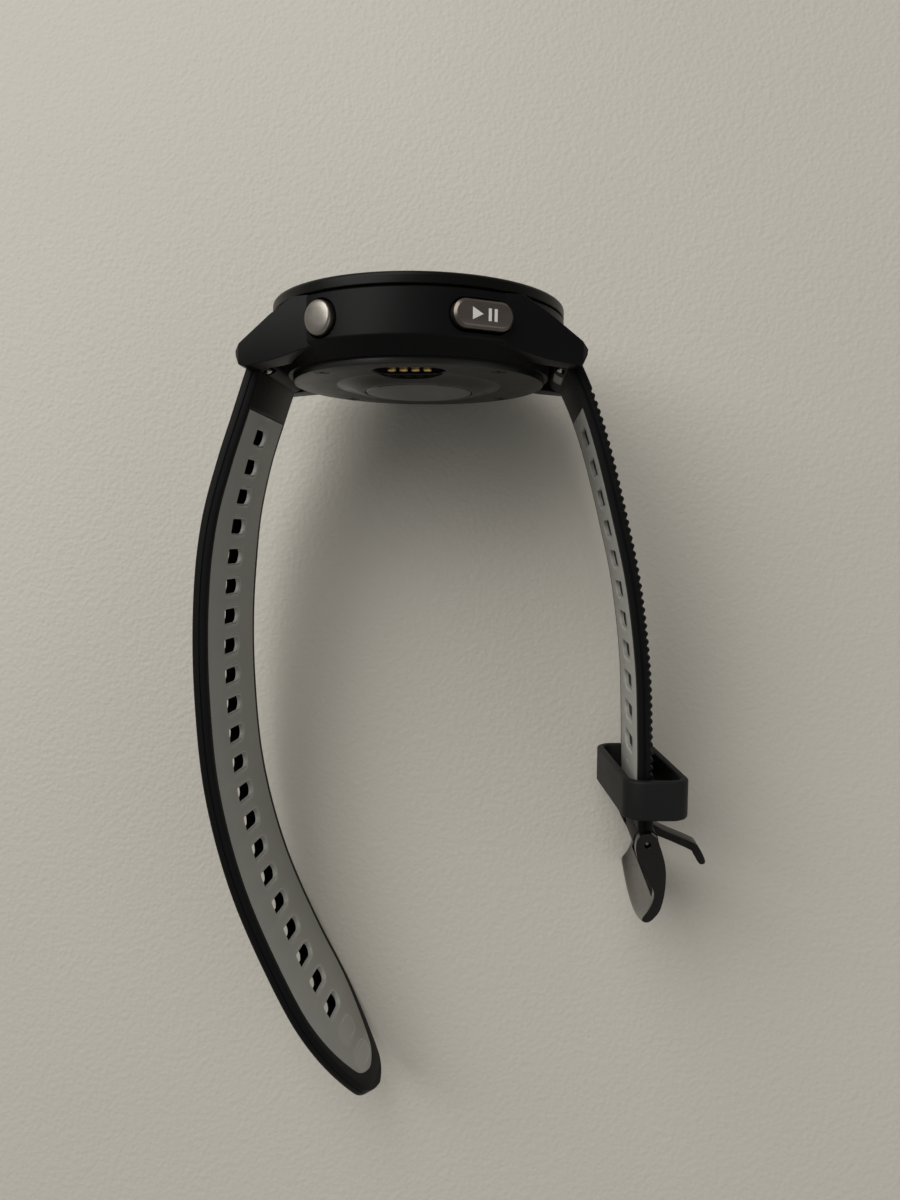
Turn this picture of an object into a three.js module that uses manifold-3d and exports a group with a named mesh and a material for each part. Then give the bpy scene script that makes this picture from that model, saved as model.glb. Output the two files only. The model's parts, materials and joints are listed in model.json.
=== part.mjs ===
// GPS running watch on a 22 mm quick-release strap, lying on its 9 o'clock side.
// Units are millimetres. In the watch's own group X points to 6 o'clock, Y points from the
// glass to the case back, and Z points to 3 o'clock. Y is 0 on the front of the bezel.
import * as THREE from 'three';
import { mergeVertices } from 'three/addons/utils/BufferGeometryUtils.js';
import Module from 'manifold-3d';

const wasm = await Module();
wasm.setup();

// ---- driving dimensions: case ----
const caseRadius = 23.05;
const caseWall = 3.65;
const bezelHeight = 1.75;
const bezelSeam = 0.2;
const caseBottom = 10.9;
const partGap = 0.15;

const bezelWidth = 3.85;
const lensThickness = 1.05;
const lensTop = 0.35;
const panelMargin = 1.4;
const panelThickness = 1.0;
const skirtDepth = 0.9;
const skirtInset = 2.45;

const coverInset = 3.05;
const coverThickness = 0.85;
const domeRadius = 13.2;
const domeHeight = 1.05;
const sensorRadius = 8.45;
const sensorThickness = 0.95;

const gasketWidth = 0.7;
const gasketThickness = 0.5;
const gasketSpace = 0.1;
const gasketProud = 0.08;
const boardThickness = 0.75;
const batteryLength = 22;
const batteryWidth = 18.6;
const coinRadius = 3.2;

// ---- driving dimensions: buttons ----
const buttonHeight = 5.6;
const buttonRadius = 2.45;
const longButtonLength = 9.2;
const longButtonWidth = 4.0;
const buttonProud = 1.05;
const buttonTravel = 0.7;
const stemRadius = 0.9;
const sealRadius = 1.65;
const backButtonAngle = 31;
const startButtonAngle = -28;
const hiddenButtonPitch = 30;
const collarWall = 0.9;
const collarPastCap = 0.05;

// ---- driving dimensions: charging contacts and screws ----
const contactPitch = 1.75;
const contactRadius = 0.62;
const contactInset = 6.9;
const contactSunk = 0.12;
const slotLength = 10.4;
const slotWidth = 5.6;
const slotInset = 6.2;
const slotDepth = 0.9;
const screwInset = 1.5;
const screwHeadRadius = 1.1;
const screwShankRadius = 0.5;

// ---- driving dimensions: lugs, spring bars and strap ----
const lugThickness = 3.25;
const lugPastBar = 2.6;
const lugMeetAngle = 52;
const barPastCase = 0.35;
const barDepth = 8.8;
const barTubeRadius = 0.8;
const barTipRadius = 0.38;
const barTipReach = 1.45;
const releaseTravel = 1.4;
const strapWidth = 21.9;
const strapThickness = 2.4;
const strapSideGap = 0.3;
const liningThickness = 0.7;
const liningRim = 1.0;
const rootRadius = 2.4;
const noseLength = 21;
const noseEnd = 7;
const flexGap = 0.8;
const longFlexHole = 8.5;
const shortFlexHole = 4.5;
const holePitch = 4.97;
const holeCount = 21;
const holeWidth = 6.2;
const holeLength = 2.5;
const firstHole = 11.9;
const pocketCount = 11;
const pocketWidth = 9;
const pocketLength = 2.6;
const liningStart = 8.3;
const longStrapTwist = 0.064;

// ---- driving dimensions: keeper and buckle ----
const keeperLength = 6.1;
const keeperWall = 1.2;
const keeperSideGap = 0.75;
const keeperFaceGap = 1.6;
const keeperOffset = 0.35;
const keeperSkew = 5.5;
const keeperFromBar = 6.7;
const buckleDrop = 73.2;
const buckleSpread = 12.95;
const buckleWall = 1.7;
const buckleBarRadius = 0.72;
const buckleSideGap = 0.2;
const tongueWidth = 3.7;
const tongueSlot = 4.3;
const knuckleRadius = 1.9;

// ---- the pose it rests in: the case, the long strap's edge and the buckle touch down ----
const restLean = -7.09;
const restRoll = -0.51;

const fineSegments = 48;
const smallSegments = 16;
const tinySegments = 10;
const sweepStep = 3.6;
const weldDistance = 1e-5;

const innerRadius = caseRadius - caseWall;
const caseTop = bezelHeight + bezelSeam;
const wallFoot = caseBottom - 1.0;
const coverTop = caseBottom + partGap;
const coverFace = coverTop + coverThickness;
const coverRadius = caseRadius - coverInset;
const slotOffset = coverRadius - slotInset;
const contactOffset = coverRadius - contactInset;
const screwCircle = coverRadius - screwInset;
const lensRadius = caseRadius - bezelWidth;
const panelRadius = lensRadius - panelMargin;
const barReach = caseRadius + barPastCase;
const lugTip = barReach + lugPastBar;
const degrees = Math.PI / 180;

// ---- solid helpers ----
function signedVolume(position, index) {
  const a = new THREE.Vector3();
  const b = new THREE.Vector3();
  const c = new THREE.Vector3();
  let total = 0;
  for (let i = 0; i < index.length; i += 3) {
    a.fromBufferAttribute(position, index[i]);
    b.fromBufferAttribute(position, index[i + 1]);
    c.fromBufferAttribute(position, index[i + 2]);
    total += a.dot(b.cross(c)) / 6;
  }
  return total;
}

// A closed shell with shared corners, no slivers, and its faces pointing outwards.
function shell(geometry) {
  const bare = geometry.clone();
  bare.deleteAttribute('normal');
  bare.deleteAttribute('uv');
  const merged = mergeVertices(bare, weldDistance);
  const old = merged.index.array;
  const index = [];
  for (let i = 0; i < old.length; i += 3) {
    const [a, b, c] = [old[i], old[i + 1], old[i + 2]];
    if (a !== b && b !== c && c !== a) index.push(a, b, c);
  }
  if (signedVolume(merged.attributes.position, index) < 0) index.reverse();
  merged.setIndex(index);
  return merged;
}

function toSolid(geometry) {
  const closed = shell(geometry);
  const mesh = new wasm.Mesh({
    numProp: 3,
    vertProperties: closed.attributes.position.array,
    triVerts: new Uint32Array(closed.index.array),
  });
  return new wasm.Manifold(mesh);
}

function toGeometry(solid) {
  const mesh = solid.getMesh();
  const geometry = new THREE.BufferGeometry();
  geometry.setAttribute('position', new THREE.Float32BufferAttribute(mesh.vertProperties, 3));
  geometry.setIndex(Array.from(mesh.triVerts));
  return geometry;
}

function join(...geometries) {
  return toGeometry(geometries.map(toSolid).reduce((whole, solid) => whole.add(solid)));
}

function carve(geometry, cutters) {
  return toGeometry(cutters.map(toSolid).reduce((rest, cutter) => rest.subtract(cutter), toSolid(geometry)));
}

function common(first, second) {
  return toGeometry(toSolid(first).intersect(toSolid(second)));
}

// ---- shape helpers ----
function lathe(points, segments = fineSegments) {
  return new THREE.LatheGeometry(points.map(([r, y]) => new THREE.Vector2(r, y)), segments);
}

function ring(inner, outer, low, high, segments = fineSegments) {
  return lathe([[inner, low], [outer, low], [outer, high], [inner, high], [inner, low]], segments);
}

function disc(radius, low, high, segments = fineSegments) {
  return lathe([[0, low], [radius, low], [radius, high], [0, high]], segments);
}

function block(low, high) {
  const size = high.map((value, i) => value - low[i]);
  const middle = high.map((value, i) => (value + low[i]) / 2);
  return new THREE.BoxGeometry(...size).translate(...middle);
}

// A round rod along Z at (x, y).
function rodAlongZ(radius, x, y, low, high, segments = tinySegments) {
  const rod = new THREE.CylinderGeometry(radius, radius, high - low, segments);
  return rod.rotateX(Math.PI / 2).translate(x, y, (low + high) / 2);
}

function outline(points) {
  return new THREE.Shape(points.map(([x, y]) => new THREE.Vector2(x, y)));
}

function prism(shape, low, high, curveSegments = 6) {
  const settings = { depth: high - low, bevelEnabled: false, curveSegments };
  return new THREE.ExtrudeGeometry(shape, settings).translate(0, 0, low);
}

function roundedRectangle(width, height, radius) {
  const shape = new THREE.Shape();
  const x = width / 2 - radius;
  const y = height / 2 - radius;
  shape.absarc(x, y, radius, 0, Math.PI / 2);
  shape.absarc(-x, y, radius, Math.PI / 2, Math.PI);
  shape.absarc(-x, -y, radius, Math.PI, 1.5 * Math.PI);
  shape.absarc(x, -y, radius, 1.5 * Math.PI, 2 * Math.PI);
  return shape;
}

// Turns a shape drawn about +Z so that it faces out of the case wall at an angle from
// 3 o'clock towards 6 o'clock, at the buttons' height.
function onWall(geometry, angle) {
  return geometry.rotateY(angle * degrees).translate(0, buttonHeight, 0);
}

// ---- materials ----
function paint(color, roughness, metalness) {
  return new THREE.MeshStandardMaterial({ color, roughness, metalness });
}

const watch = new THREE.Group();

function add(name, geometry, material) {
  const mesh = new THREE.Mesh(shell(geometry), material);
  mesh.name = name;
  watch.add(mesh);
}

// ---- bezel, glass and display ----
const skirtInner = panelRadius + partGap;
const skirtOuter = caseRadius - skirtInset;
const skirtFoot = bezelHeight + skirtDepth;
const lensSeat = lensTop + lensThickness + 0.1;

function makeFront() {
  const bezel = lathe([
    [lensRadius + partGap, 0.3],
    [caseRadius - 0.75, 0],
    [caseRadius - 0.25, 0.25],
    [caseRadius, 0.7],
    [caseRadius, bezelHeight],
    [skirtOuter, bezelHeight],
    [skirtOuter, skirtFoot],
    [skirtInner, skirtFoot],
    [skirtInner, lensSeat],
    [lensRadius + partGap, lensSeat],
    [lensRadius + partGap, 0.3],
  ]);
  add('bezel', bezel, paint(0x141312, 0.45, 0.1));
  add('display_lens', disc(lensRadius, lensTop, lensTop + lensThickness), paint(0x050506, 0.08, 0));
  const panelTop = lensSeat + 0.05;
  add('display_panel', disc(panelRadius, panelTop, panelTop + panelThickness), paint(0x0a0c10, 0.25, 0));
}

// ---- gaskets sit in grooves cut with the same clearance ----
const frontGasketInner = skirtOuter + gasketWidth;
const backGasketInner = coverRadius - 0.65;

function makeGasket(name, inner, low) {
  const gasket = ring(inner, inner + gasketWidth, low, low + gasketThickness);
  add(name, gasket, paint(0x1b1b1c, 0.8, 0));
}

function gasketGroove(inner, low, high) {
  return ring(inner - gasketSpace, inner + gasketWidth + gasketSpace, low, high);
}

// ---- buttons ----
const capFoot = caseRadius - 0.75;
const capTop = caseRadius + buttonProud;
const pocketFloor = capFoot - buttonTravel - 0.2;
const sealSeat = innerRadius + 1.0;
const stemEnd = innerRadius - 0.8;

const buttons = [
  { name: 'button_back', angle: backButtonAngle },
  { name: 'button_start', angle: startButtonAngle, long: true },
  { name: 'button_light', angle: 180 + hiddenButtonPitch, collar: true },
  { name: 'button_up', angle: 180, collar: true },
  { name: 'button_down', angle: 180 - hiddenButtonPitch, collar: true },
];

function roundButton() {
  const profile = [
    [0, stemEnd],
    [stemRadius, stemEnd],
    [stemRadius, capFoot],
    [buttonRadius, capFoot],
    [buttonRadius, capTop - 0.35],
    [buttonRadius - 0.3, capTop - 0.08],
    [0, capTop],
  ];
  return lathe(profile, smallSegments).rotateX(Math.PI / 2);
}

function longButton() {
  const chamfer = 0.4;
  const shape = roundedRectangle(longButtonLength, longButtonWidth, longButtonWidth / 2 - 0.05);
  const cap = new THREE.ExtrudeGeometry(shape, {
    depth: capTop - capFoot - 2 * chamfer,
    bevelThickness: chamfer,
    bevelSize: chamfer,
    bevelOffset: -chamfer,
    bevelSegments: 1,
    curveSegments: 4,
  }).translate(0, 0, capFoot + chamfer);
  return join(cap, rodAlongZ(stemRadius, 0, 0, stemEnd, capFoot + chamfer));
}

function makeButtons() {
  const metal = { button_back: 0x8c847a, button_start: 0x5a524b };
  for (const { name, angle, long } of buttons) {
    const cap = long ? longButton() : roundButton();
    add(name, onWall(cap, angle), paint(metal[name] ?? 0x8c847a, 0.35, 0.85));
    const label = name.replace('button', 'seal');
    const seal = ring(stemRadius + 0.1, sealRadius, sealSeat - 0.8, sealSeat - 0.1, tinySegments);
    add(label, onWall(seal.rotateX(Math.PI / 2), angle), paint(0x202020, 0.8, 0));
  }
}

// The 9 o'clock buttons sit in raised collars, so the case can stand on that side.
function buttonCollars() {
  const outer = buttonRadius + partGap + collarWall;
  return buttons.filter(({ collar }) => collar).map(({ angle }) => onWall(
    rodAlongZ(outer, 0, 0, caseRadius - 1, capTop + collarPastCap, 2 * smallSegments),
    angle,
  ));
}

function buttonCutters() {
  const cutters = [];
  for (const { angle, long } of buttons) {
    const room = roundedRectangle(
      longButtonLength + 2 * partGap,
      longButtonWidth + 2 * partGap,
      longButtonWidth / 2,
    );
    const pocket = long
      ? prism(room, pocketFloor, capTop + 1)
      : rodAlongZ(buttonRadius + partGap, 0, 0, pocketFloor, capTop + 1, smallSegments);
    cutters.push(onWall(pocket, angle));
    cutters.push(onWall(rodAlongZ(stemRadius + partGap, 0, 0, innerRadius - 1, capTop), angle));
    cutters.push(onWall(rodAlongZ(sealRadius + 0.1, 0, 0, innerRadius - 1, sealSeat), angle));
  }
  return cutters;
}

// ---- mid case with four lugs ----
const lugInner = strapWidth / 2 + strapSideGap;
const lugOuter = lugInner + lugThickness;
const lugRoot = caseRadius - 11.05;
const lugFoot = caseBottom + 4;
const rootNotch = barReach - rootRadius - strapSideGap;
const screwAngles = [45, 135, 225, 315];

function lug(sideX, sideZ) {
  const profile = outline([
    [lugRoot, caseTop],
    [lugTip - 9.5, caseTop],
    [lugTip - 5.8, caseTop + 2.25],
    [lugTip - 0.9, barDepth - 1.0],
    [lugTip, barDepth],
    [lugTip - 0.1, barDepth + 0.8],
    [lugTip - 0.7, barDepth + 2.1],
    [lugTip - 1.8, barDepth + 2.5],
    [lugRoot, wallFoot + 0.5],
  ]);
  // The lug's outer side runs back to meet the round case wall.
  const meetZ = caseRadius * Math.sin(lugMeetAngle * degrees);
  const meetX = caseRadius * Math.cos(lugMeetAngle * degrees);
  const backX = Math.min(lugRoot, meetX - 1);
  const plan = outline([
    [backX, -lugInner],
    [lugTip + 0.1, -lugInner],
    [lugTip + 0.1, -(lugOuter - 1.2)],
    [lugTip - 0.8, -lugOuter],
    [meetX, -meetZ],
    [backX, -meetZ],
  ]);
  const side = prism(profile, lugInner - 1, meetZ + 1);
  const top = prism(plan, 0, lugFoot).rotateX(-Math.PI / 2);
  const cavity = disc(innerRadius + 0.5, 0, lugFoot);
  const skirtRoom = disc(skirtOuter + partGap, 0, skirtFoot + 0.1);
  return carve(common(side, top), [cavity, skirtRoom]).scale(sideX, 1, sideZ);
}

function makeMidCase() {
  const wall = lathe([
    [caseRadius, caseTop],
    [caseRadius, wallFoot - 2.7],
    [caseRadius - 0.2, wallFoot - 1.3],
    [caseRadius - 0.75, wallFoot],
    [coverRadius + 0.7, caseBottom],
    [screwCircle - 1.2, caseBottom],
    [screwCircle - 1.2, caseBottom - 1.5],
    [innerRadius, caseBottom - 1.7],
    [innerRadius, skirtFoot + 0.1],
    [skirtOuter + partGap, skirtFoot + 0.1],
    [skirtOuter + partGap, caseTop],
    [caseRadius, caseTop],
  ]);
  const sides = [1, -1];
  const cutters = [
    gasketGroove(frontGasketInner, caseTop - 1, caseTop + gasketThickness),
    gasketGroove(backGasketInner, caseBottom - gasketThickness, caseBottom + 1),
    ...buttonCutters(),
  ];
  for (const angle of screwAngles) {
    const shank = disc(screwShankRadius + partGap, caseBottom - 3, caseBottom + 1, tinySegments);
    cutters.push(shank.translate(screwCircle, 0, 0).rotateY(angle * degrees));
  }
  for (const side of sides) {
    const reach = [side * rootNotch, side * (lugTip + 2)].sort((a, b) => a - b);
    cutters.push(block([reach[0], barDepth - 3.2, -lugInner], [reach[1], lugFoot, lugInner]));
    const holeEnd = lugInner + barTipReach + 0.4;
    cutters.push(rodAlongZ(barTipRadius + partGap, side * barReach, barDepth, -holeEnd, holeEnd));
  }
  const lugs = sides.flatMap((x) => sides.map((z) => lug(x, z)));
  const body = join(wall, ...lugs, ...buttonCollars());
  add('mid_case', carve(body, cutters), paint(0x0f0f10, 0.45, 0));
}

// ---- back cover, sensor window and charging contacts ----
const domeTop = coverFace + domeHeight;
const windowSeat = domeTop - sensorThickness + 0.1;

function chargingSlot(clearance, low, high) {
  const shape = roundedRectangle(slotLength + 2 * clearance, slotWidth + 2 * clearance, slotWidth / 2 - 0.1);
  const slot = prism(shape, low, high, 4);
  return slot.rotateX(-Math.PI / 2).translate(0, 0, slotOffset);
}

function makeBackCover() {
  const cover = lathe([
    [sensorRadius - 0.9, coverTop],
    [coverRadius, coverTop],
    [coverRadius, coverFace - 0.2],
    [coverRadius - 0.2, coverFace],
    [domeRadius, coverFace],
    [domeRadius - 1.8, coverFace + domeHeight / 3],
    [domeRadius - 3.2, coverFace + domeHeight * 0.81],
    [sensorRadius + 0.5, domeTop],
    [sensorRadius + partGap, domeTop],
    [sensorRadius + partGap, windowSeat - 0.1],
    [sensorRadius - 0.9, windowSeat - 0.1],
    [sensorRadius - 0.9, coverTop],
  ]);
  const cutters = [chargingSlot(0.12, coverTop - 1, coverFace + 3)];
  for (const angle of screwAngles) {
    const head = disc(screwHeadRadius + partGap, coverFace - 0.45, coverFace + 1, tinySegments);
    const shank = disc(screwShankRadius + partGap, coverTop - 1, coverFace, tinySegments);
    cutters.push(head.translate(screwCircle, 0, 0).rotateY(angle * degrees));
    cutters.push(shank.translate(screwCircle, 0, 0).rotateY(angle * degrees));
  }
  add('back_cover', carve(cover, cutters), paint(0x1d1d1e, 0.4, 0));
  const window = lathe([
    [0, windowSeat],
    [sensorRadius, windowSeat],
    [sensorRadius, domeTop],
    [sensorRadius * 0.6, domeTop + 0.15],
    [0, domeTop + 0.2],
  ]);
  add('sensor_window', window, paint(0x2c2d2f, 0.15, 0));
}

function makeScrews() {
  screwAngles.forEach((angle, i) => {
    const headFoot = coverFace - 0.4;
    const screw = lathe([
      [0, caseBottom - 1.2],
      [screwShankRadius, caseBottom - 1.2],
      [screwShankRadius, headFoot],
      [screwHeadRadius, headFoot],
      [screwHeadRadius, coverFace - 0.05],
      [0, coverFace - 0.05],
    ], tinySegments);
    screw.translate(screwCircle, 0, 0).rotateY(angle * degrees);
    add(`back_screw_${i + 1}`, screw, paint(0x55524e, 0.35, 0.9));
  });
}

const slotFloor = coverFace - slotDepth;
const padHeight = coverFace - contactSunk;

function makeContacts() {
  const places = [-1.5, -0.5, 0.5, 1.5].map((step) => step * contactPitch);
  const holes = places.map((x) => disc(contactRadius + 0.1, coverTop - 2, coverFace + 1, tinySegments)
    .translate(x, 0, contactOffset));
  add('contact_block', carve(chargingSlot(0, coverTop - 0.75, slotFloor), holes), paint(0x0b0b0b, 0.5, 0));
  places.forEach((x, i) => {
    const pin = disc(contactRadius, coverTop - 1.1, padHeight, tinySegments);
    add(`contact_${i + 1}`, pin.translate(x, 0, contactOffset), paint(0xc9a24a, 0.25, 1));
  });
}

// ---- inside the case ----
const boardTop = skirtFoot + 1.0;
const boardFoot = boardTop + boardThickness;
const partsSeat = boardFoot + partGap;
const batteryFoot = boardFoot + 0.6;
const sensorBoardFoot = coverTop - 0.7;
const batteryThickness = sensorBoardFoot - 1.15 - batteryFoot;
const motorHeight = 2.7;
const buzzerHeight = 1.6;
const antennaWidth = 2.2;
const switchHalfWidth = 1.7;

function makeInside() {
  const antennaOuter = innerRadius - 0.2;
  const antenna = ring(antennaOuter - antennaWidth, antennaOuter, skirtFoot + 0.2, boardTop - partGap);
  add('antenna_ring', antenna, paint(0x8a6f3a, 0.5, 0.2));
  add('main_board', disc(innerRadius - 0.5, boardTop, boardFoot, 32), paint(0x12401f, 0.6, 0));
  const cell = prism(roundedRectangle(batteryLength, batteryWidth, 2), 0, batteryThickness);
  cell.rotateX(Math.PI / 2).translate(0, batteryFoot + batteryThickness, 0);
  add('battery', cell, paint(0xa9acb0, 0.4, 0.7));
  const coinPlace = batteryLength / 2 + coinRadius + 0.7;
  const motor = disc(coinRadius, partsSeat, partsSeat + motorHeight, smallSegments);
  add('vibration_motor', motor.translate(coinPlace, 0, 0), paint(0xb8babd, 0.3, 0.9));
  const buzzer = disc(coinRadius, partsSeat, partsSeat + buzzerHeight, smallSegments);
  add('buzzer', buzzer.translate(-coinPlace, 0, 0), paint(0xc8a860, 0.4, 0.8));
  const sensorBoard = disc(sensorRadius - 1.2, sensorBoardFoot, windowSeat - partGap, 24);
  add('sensor_board', sensorBoard, paint(0x12401f, 0.6, 0));
  const plungerEnd = stemEnd - buttonTravel - 0.1;
  for (const { name, angle } of buttons) {
    const low = [-switchHalfWidth, partsSeat - buttonHeight, plungerEnd - 2.2];
    const body = block(low, [switchHalfWidth, 1.0, plungerEnd - 0.2]);
    const tact = join(body, rodAlongZ(0.6, 0, 0, plungerEnd - 1, plungerEnd));
    add(name.replace('button', 'switch'), onWall(tact, angle), paint(0x2a2a2c, 0.5, 0.2));
  }
}

// ---- straps: a cross-section swept along the strap's inner face, then bent onto it ----
// A strap point is given as along (from the spring bar), depth (from the inner face
// outwards) and across (towards 3 o'clock).
// A path's points are given from the spring bar: outwards from it, then past it.
function makePath(points, outwards, twist) {
  const place = ([out, past]) => new THREE.Vector2(outwards * (barReach + out), barDepth + past);
  const curve = new THREE.SplineCurve(points.map(place));
  curve.arcLengthDivisions = 400;
  return { curve, outwards, twist, length: curve.getLength() };
}

const longPath = makePath([
  [-1.2, 0.2], [1.5, 8.2], [4.2, 16.6], [6.4, 26.2], [7.6, 39.2], [7.5, 53.2],
  [6.0, 68.2], [2.1, 83.2], [-4.2, 97.8], [-10.8, 109.8], [-17.5, 120.5],
], 1, longStrapTwist);

const buckleBar = { x: -(barReach + buckleSpread), y: barDepth + buckleDrop };
const strapMiddle = strapThickness / 2;
const shortEnd = buckleSpread - strapMiddle;

const shortPath = makePath([
  [-1.2, 0.3], [1.9, 7.2], [4.3, 14.4], [6.9, 24.4], [9.2, 34.7], [10.8, 46.7],
  [shortEnd - 0.4, 57.2], [shortEnd - 0.2, 65.2], [shortEnd, buckleDrop],
], -1, 0);

function onStrap(path, along, depth, across) {
  const place = THREE.MathUtils.clamp(along / path.length, 0, 1);
  const point = path.curve.getPointAt(place);
  const tangent = path.curve.getTangentAt(place);
  const normal = new THREE.Vector2(tangent.y, -tangent.x).multiplyScalar(path.outwards);
  const fade = THREE.MathUtils.smoothstep(along, 10, 35);
  const x = point.x + normal.x * depth + path.twist * fade * across;
  return new THREE.Vector3(x, point.y + normal.y * depth, across);
}

// Sweeps a cross-section, whose x is a share of the half width, from one place to another.
function sweep(path, section, from, to, halfWidthAt) {
  const steps = Math.max(1, Math.round((to - from) / sweepStep));
  const settings = { depth: to - from, steps, bevelEnabled: false };
  const body = new THREE.ExtrudeGeometry(outline(section), settings).translate(0, 0, from);
  const position = body.attributes.position;
  for (let i = 0; i < position.count; i += 1) {
    const along = position.getZ(i);
    const across = position.getX(i) * halfWidthAt(along);
    const point = onStrap(path, along, position.getY(i), across);
    position.setXYZ(i, point.x, point.y, point.z);
  }
  return body;
}

// A rounded nose: full width, then narrowing to the end width along the nose.
function noseWidth(full, end, nose, tip) {
  return (along) => {
    const share = THREE.MathUtils.clamp((tip - along) / nose, 0, 1);
    return end + (full - end) * Math.sin(share * Math.PI / 2) ** 0.8;
  };
}

const strapSection = [
  [-1, 0], [1, 0], [1, strapThickness - 0.6], [0.94, strapThickness],
  [-0.94, strapThickness], [-1, strapThickness - 0.6],
];

function flatSection(low, high) {
  return [[-1, low], [1, low], [1, high], [-1, high]];
}

// A D-shaped hole, square towards 3 o'clock and round towards 9 o'clock.
function strapHole(path, along, width, length) {
  const shape = new THREE.Shape();
  shape.moveTo(width / 2, -length / 2);
  shape.lineTo(width / 2, length / 2);
  shape.lineTo(length / 2 - width / 2, length / 2);
  shape.absarc(length / 2 - width / 2, 0, length / 2, Math.PI / 2, 1.5 * Math.PI);
  const cutter = prism(shape, -1.5, strapThickness + 1.5, 3);
  const centre = onStrap(path, along, 0, 0);
  const ahead = onStrap(path, along + 0.1, 0, 0).sub(centre).normalize();
  const outward = onStrap(path, along, 1, 0).sub(centre).normalize();
  const side = onStrap(path, along, 0, 1).sub(centre).normalize();
  const frame = new THREE.Matrix4().makeBasis(side, ahead, outward).setPosition(centre);
  return cutter.applyMatrix4(frame);
}

// The release knob slides along this slot, which leans towards the case.
const knobRadius = 0.5;
const knobLean = 30;
const knobPlace = strapWidth / 2 - 2.05;

function releaseWindow(sideX, width) {
  const slot = new THREE.BoxGeometry(width, 3.4, releaseTravel + 2.2);
  slot.translate(0, 2.0, knobPlace - releaseTravel / 2);
  return slot.rotateZ(sideX * knobLean * degrees).translate(sideX * barReach, barDepth, 0);
}

// One strap half, cut across at the flex line into a root piece and an end piece.
function makeStrap({ name, path, sideX, widthAt, liningWidthAt, liningEnd, flexAt, holes, through, end }) {
  const liningSpace = 0.1;
  const pocketDepth = liningThickness + liningSpace;
  const pieces = [
    { part: 'root', from: 0, to: flexAt - flexGap / 2 },
    { part: 'end', from: flexAt + flexGap / 2, to: path.length },
  ];
  const wideLining = (along) => liningWidthAt(along) + liningSpace;
  for (const { part, from, to } of pieces) {
    const isRoot = part === 'root';
    const body = sweep(path, strapSection, from, to, widthAt);
    const pocketFrom = isRoot ? liningStart - liningSpace : from - 1;
    const pocketTo = isRoot ? to + 1 : liningEnd + liningSpace;
    const pocket = sweep(path, flatSection(-0.6, pocketDepth), pocketFrom, pocketTo, wideLining);
    const inPiece = holes.places.filter((along) => along > from && along < to);
    const cutters = inPiece.map((along) => strapHole(path, along, holes.width, holes.length));
    const outerCuts = [pocket, ...(through ? cutters : [])];
    let outer = body;
    if (isRoot) {
      const half = strapWidth / 2;
      outer = join(body, rodAlongZ(rootRadius, sideX * barReach, barDepth, -half, half, 24));
      outerCuts.push(rodAlongZ(barTubeRadius + partGap, sideX * barReach, barDepth, -half - 1, half + 1));
      outerCuts.push(releaseWindow(sideX, 3 * knobRadius));
    } else if (end) {
      outer = join(body, ...end.add);
      outerCuts.push(...end.cut);
    }
    add(`${name}_outer_${part}`, carve(outer, outerCuts), paint(0x101011, 0.5, 0));
    const liningLow = isRoot ? liningStart : from;
    const liningHigh = isRoot ? to : liningEnd;
    const lining = sweep(path, flatSection(0, liningThickness), liningLow, liningHigh, liningWidthAt);
    add(`${name}_lining_${part}`, carve(lining, cutters), paint(0x6f706a, 0.65, 0));
  }
}

function makeStraps() {
  const half = strapWidth / 2;
  const longTip = longPath.length;
  const liningTip = longTip - 3.2;
  makeStrap({
    name: 'long_strap',
    path: longPath,
    sideX: 1,
    widthAt: noseWidth(half, noseEnd / 2, noseLength, longTip),
    liningWidthAt: noseWidth(half - liningRim, noseEnd / 2 - 0.6, noseLength - 3, liningTip),
    liningEnd: liningTip,
    flexAt: firstHole + longFlexHole * holePitch,
    holes: {
      places: Array.from({ length: holeCount }, (_, i) => firstHole + i * holePitch),
      width: holeWidth,
      length: holeLength,
    },
    through: true,
  });
  const { x, y } = buckleBar;
  const knuckle = rodAlongZ(knuckleRadius, x, y, -half, half, smallSegments);
  makeStrap({
    name: 'short_strap',
    path: shortPath,
    sideX: -1,
    widthAt: () => half,
    liningWidthAt: () => half - liningRim,
    liningEnd: shortPath.length - 5.5,
    flexAt: firstHole + shortFlexHole * holePitch,
    holes: {
      places: Array.from({ length: pocketCount }, (_, i) => firstHole + i * holePitch),
      width: pocketWidth,
      length: pocketLength,
    },
    through: false,
    end: {
      add: [knuckle],
      cut: [
        rodAlongZ(buckleBarRadius + partGap + 0.05, x, y, -half - 1, half + 1),
        block([x - 4, y - knuckleRadius - 0.4, -tongueSlot / 2], [x + 4, y + 4, tongueSlot / 2]),
      ],
    },
  });
}

// ---- quick-release spring bars ----
function makeSpringBar(name, sideX) {
  const x = sideX * barReach;
  const half = strapWidth / 2 - 0.15;
  const reach = lugInner + barTipReach;
  const bore = barTipRadius + 0.12;
  const tube = carve(rodAlongZ(barTubeRadius, x, barDepth, -half, half), [
    rodAlongZ(bore, x, barDepth, knobPlace - 4.7, half + 1),
    rodAlongZ(bore, x, barDepth, -half - 1, -half + 1.6),
    releaseWindow(sideX, 2.6 * knobRadius),
  ]);
  const steel = paint(0x9a9a98, 0.3, 0.95);
  add(`${name}_tube`, tube, steel);
  add(`${name}_fixed_tip`, rodAlongZ(barTipRadius, x, barDepth, -reach, -half + 1.4), steel);
  const knob = new THREE.CylinderGeometry(knobRadius, knobRadius, 2.7, tinySegments);
  knob.translate(0, 1.45, knobPlace).rotateZ(sideX * knobLean * degrees).translate(x, barDepth, 0);
  const tip = join(rodAlongZ(barTipRadius, x, barDepth, knobPlace - 2.5, reach), knob);
  add(`${name}_release_tip`, tip, steel);
}

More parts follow.
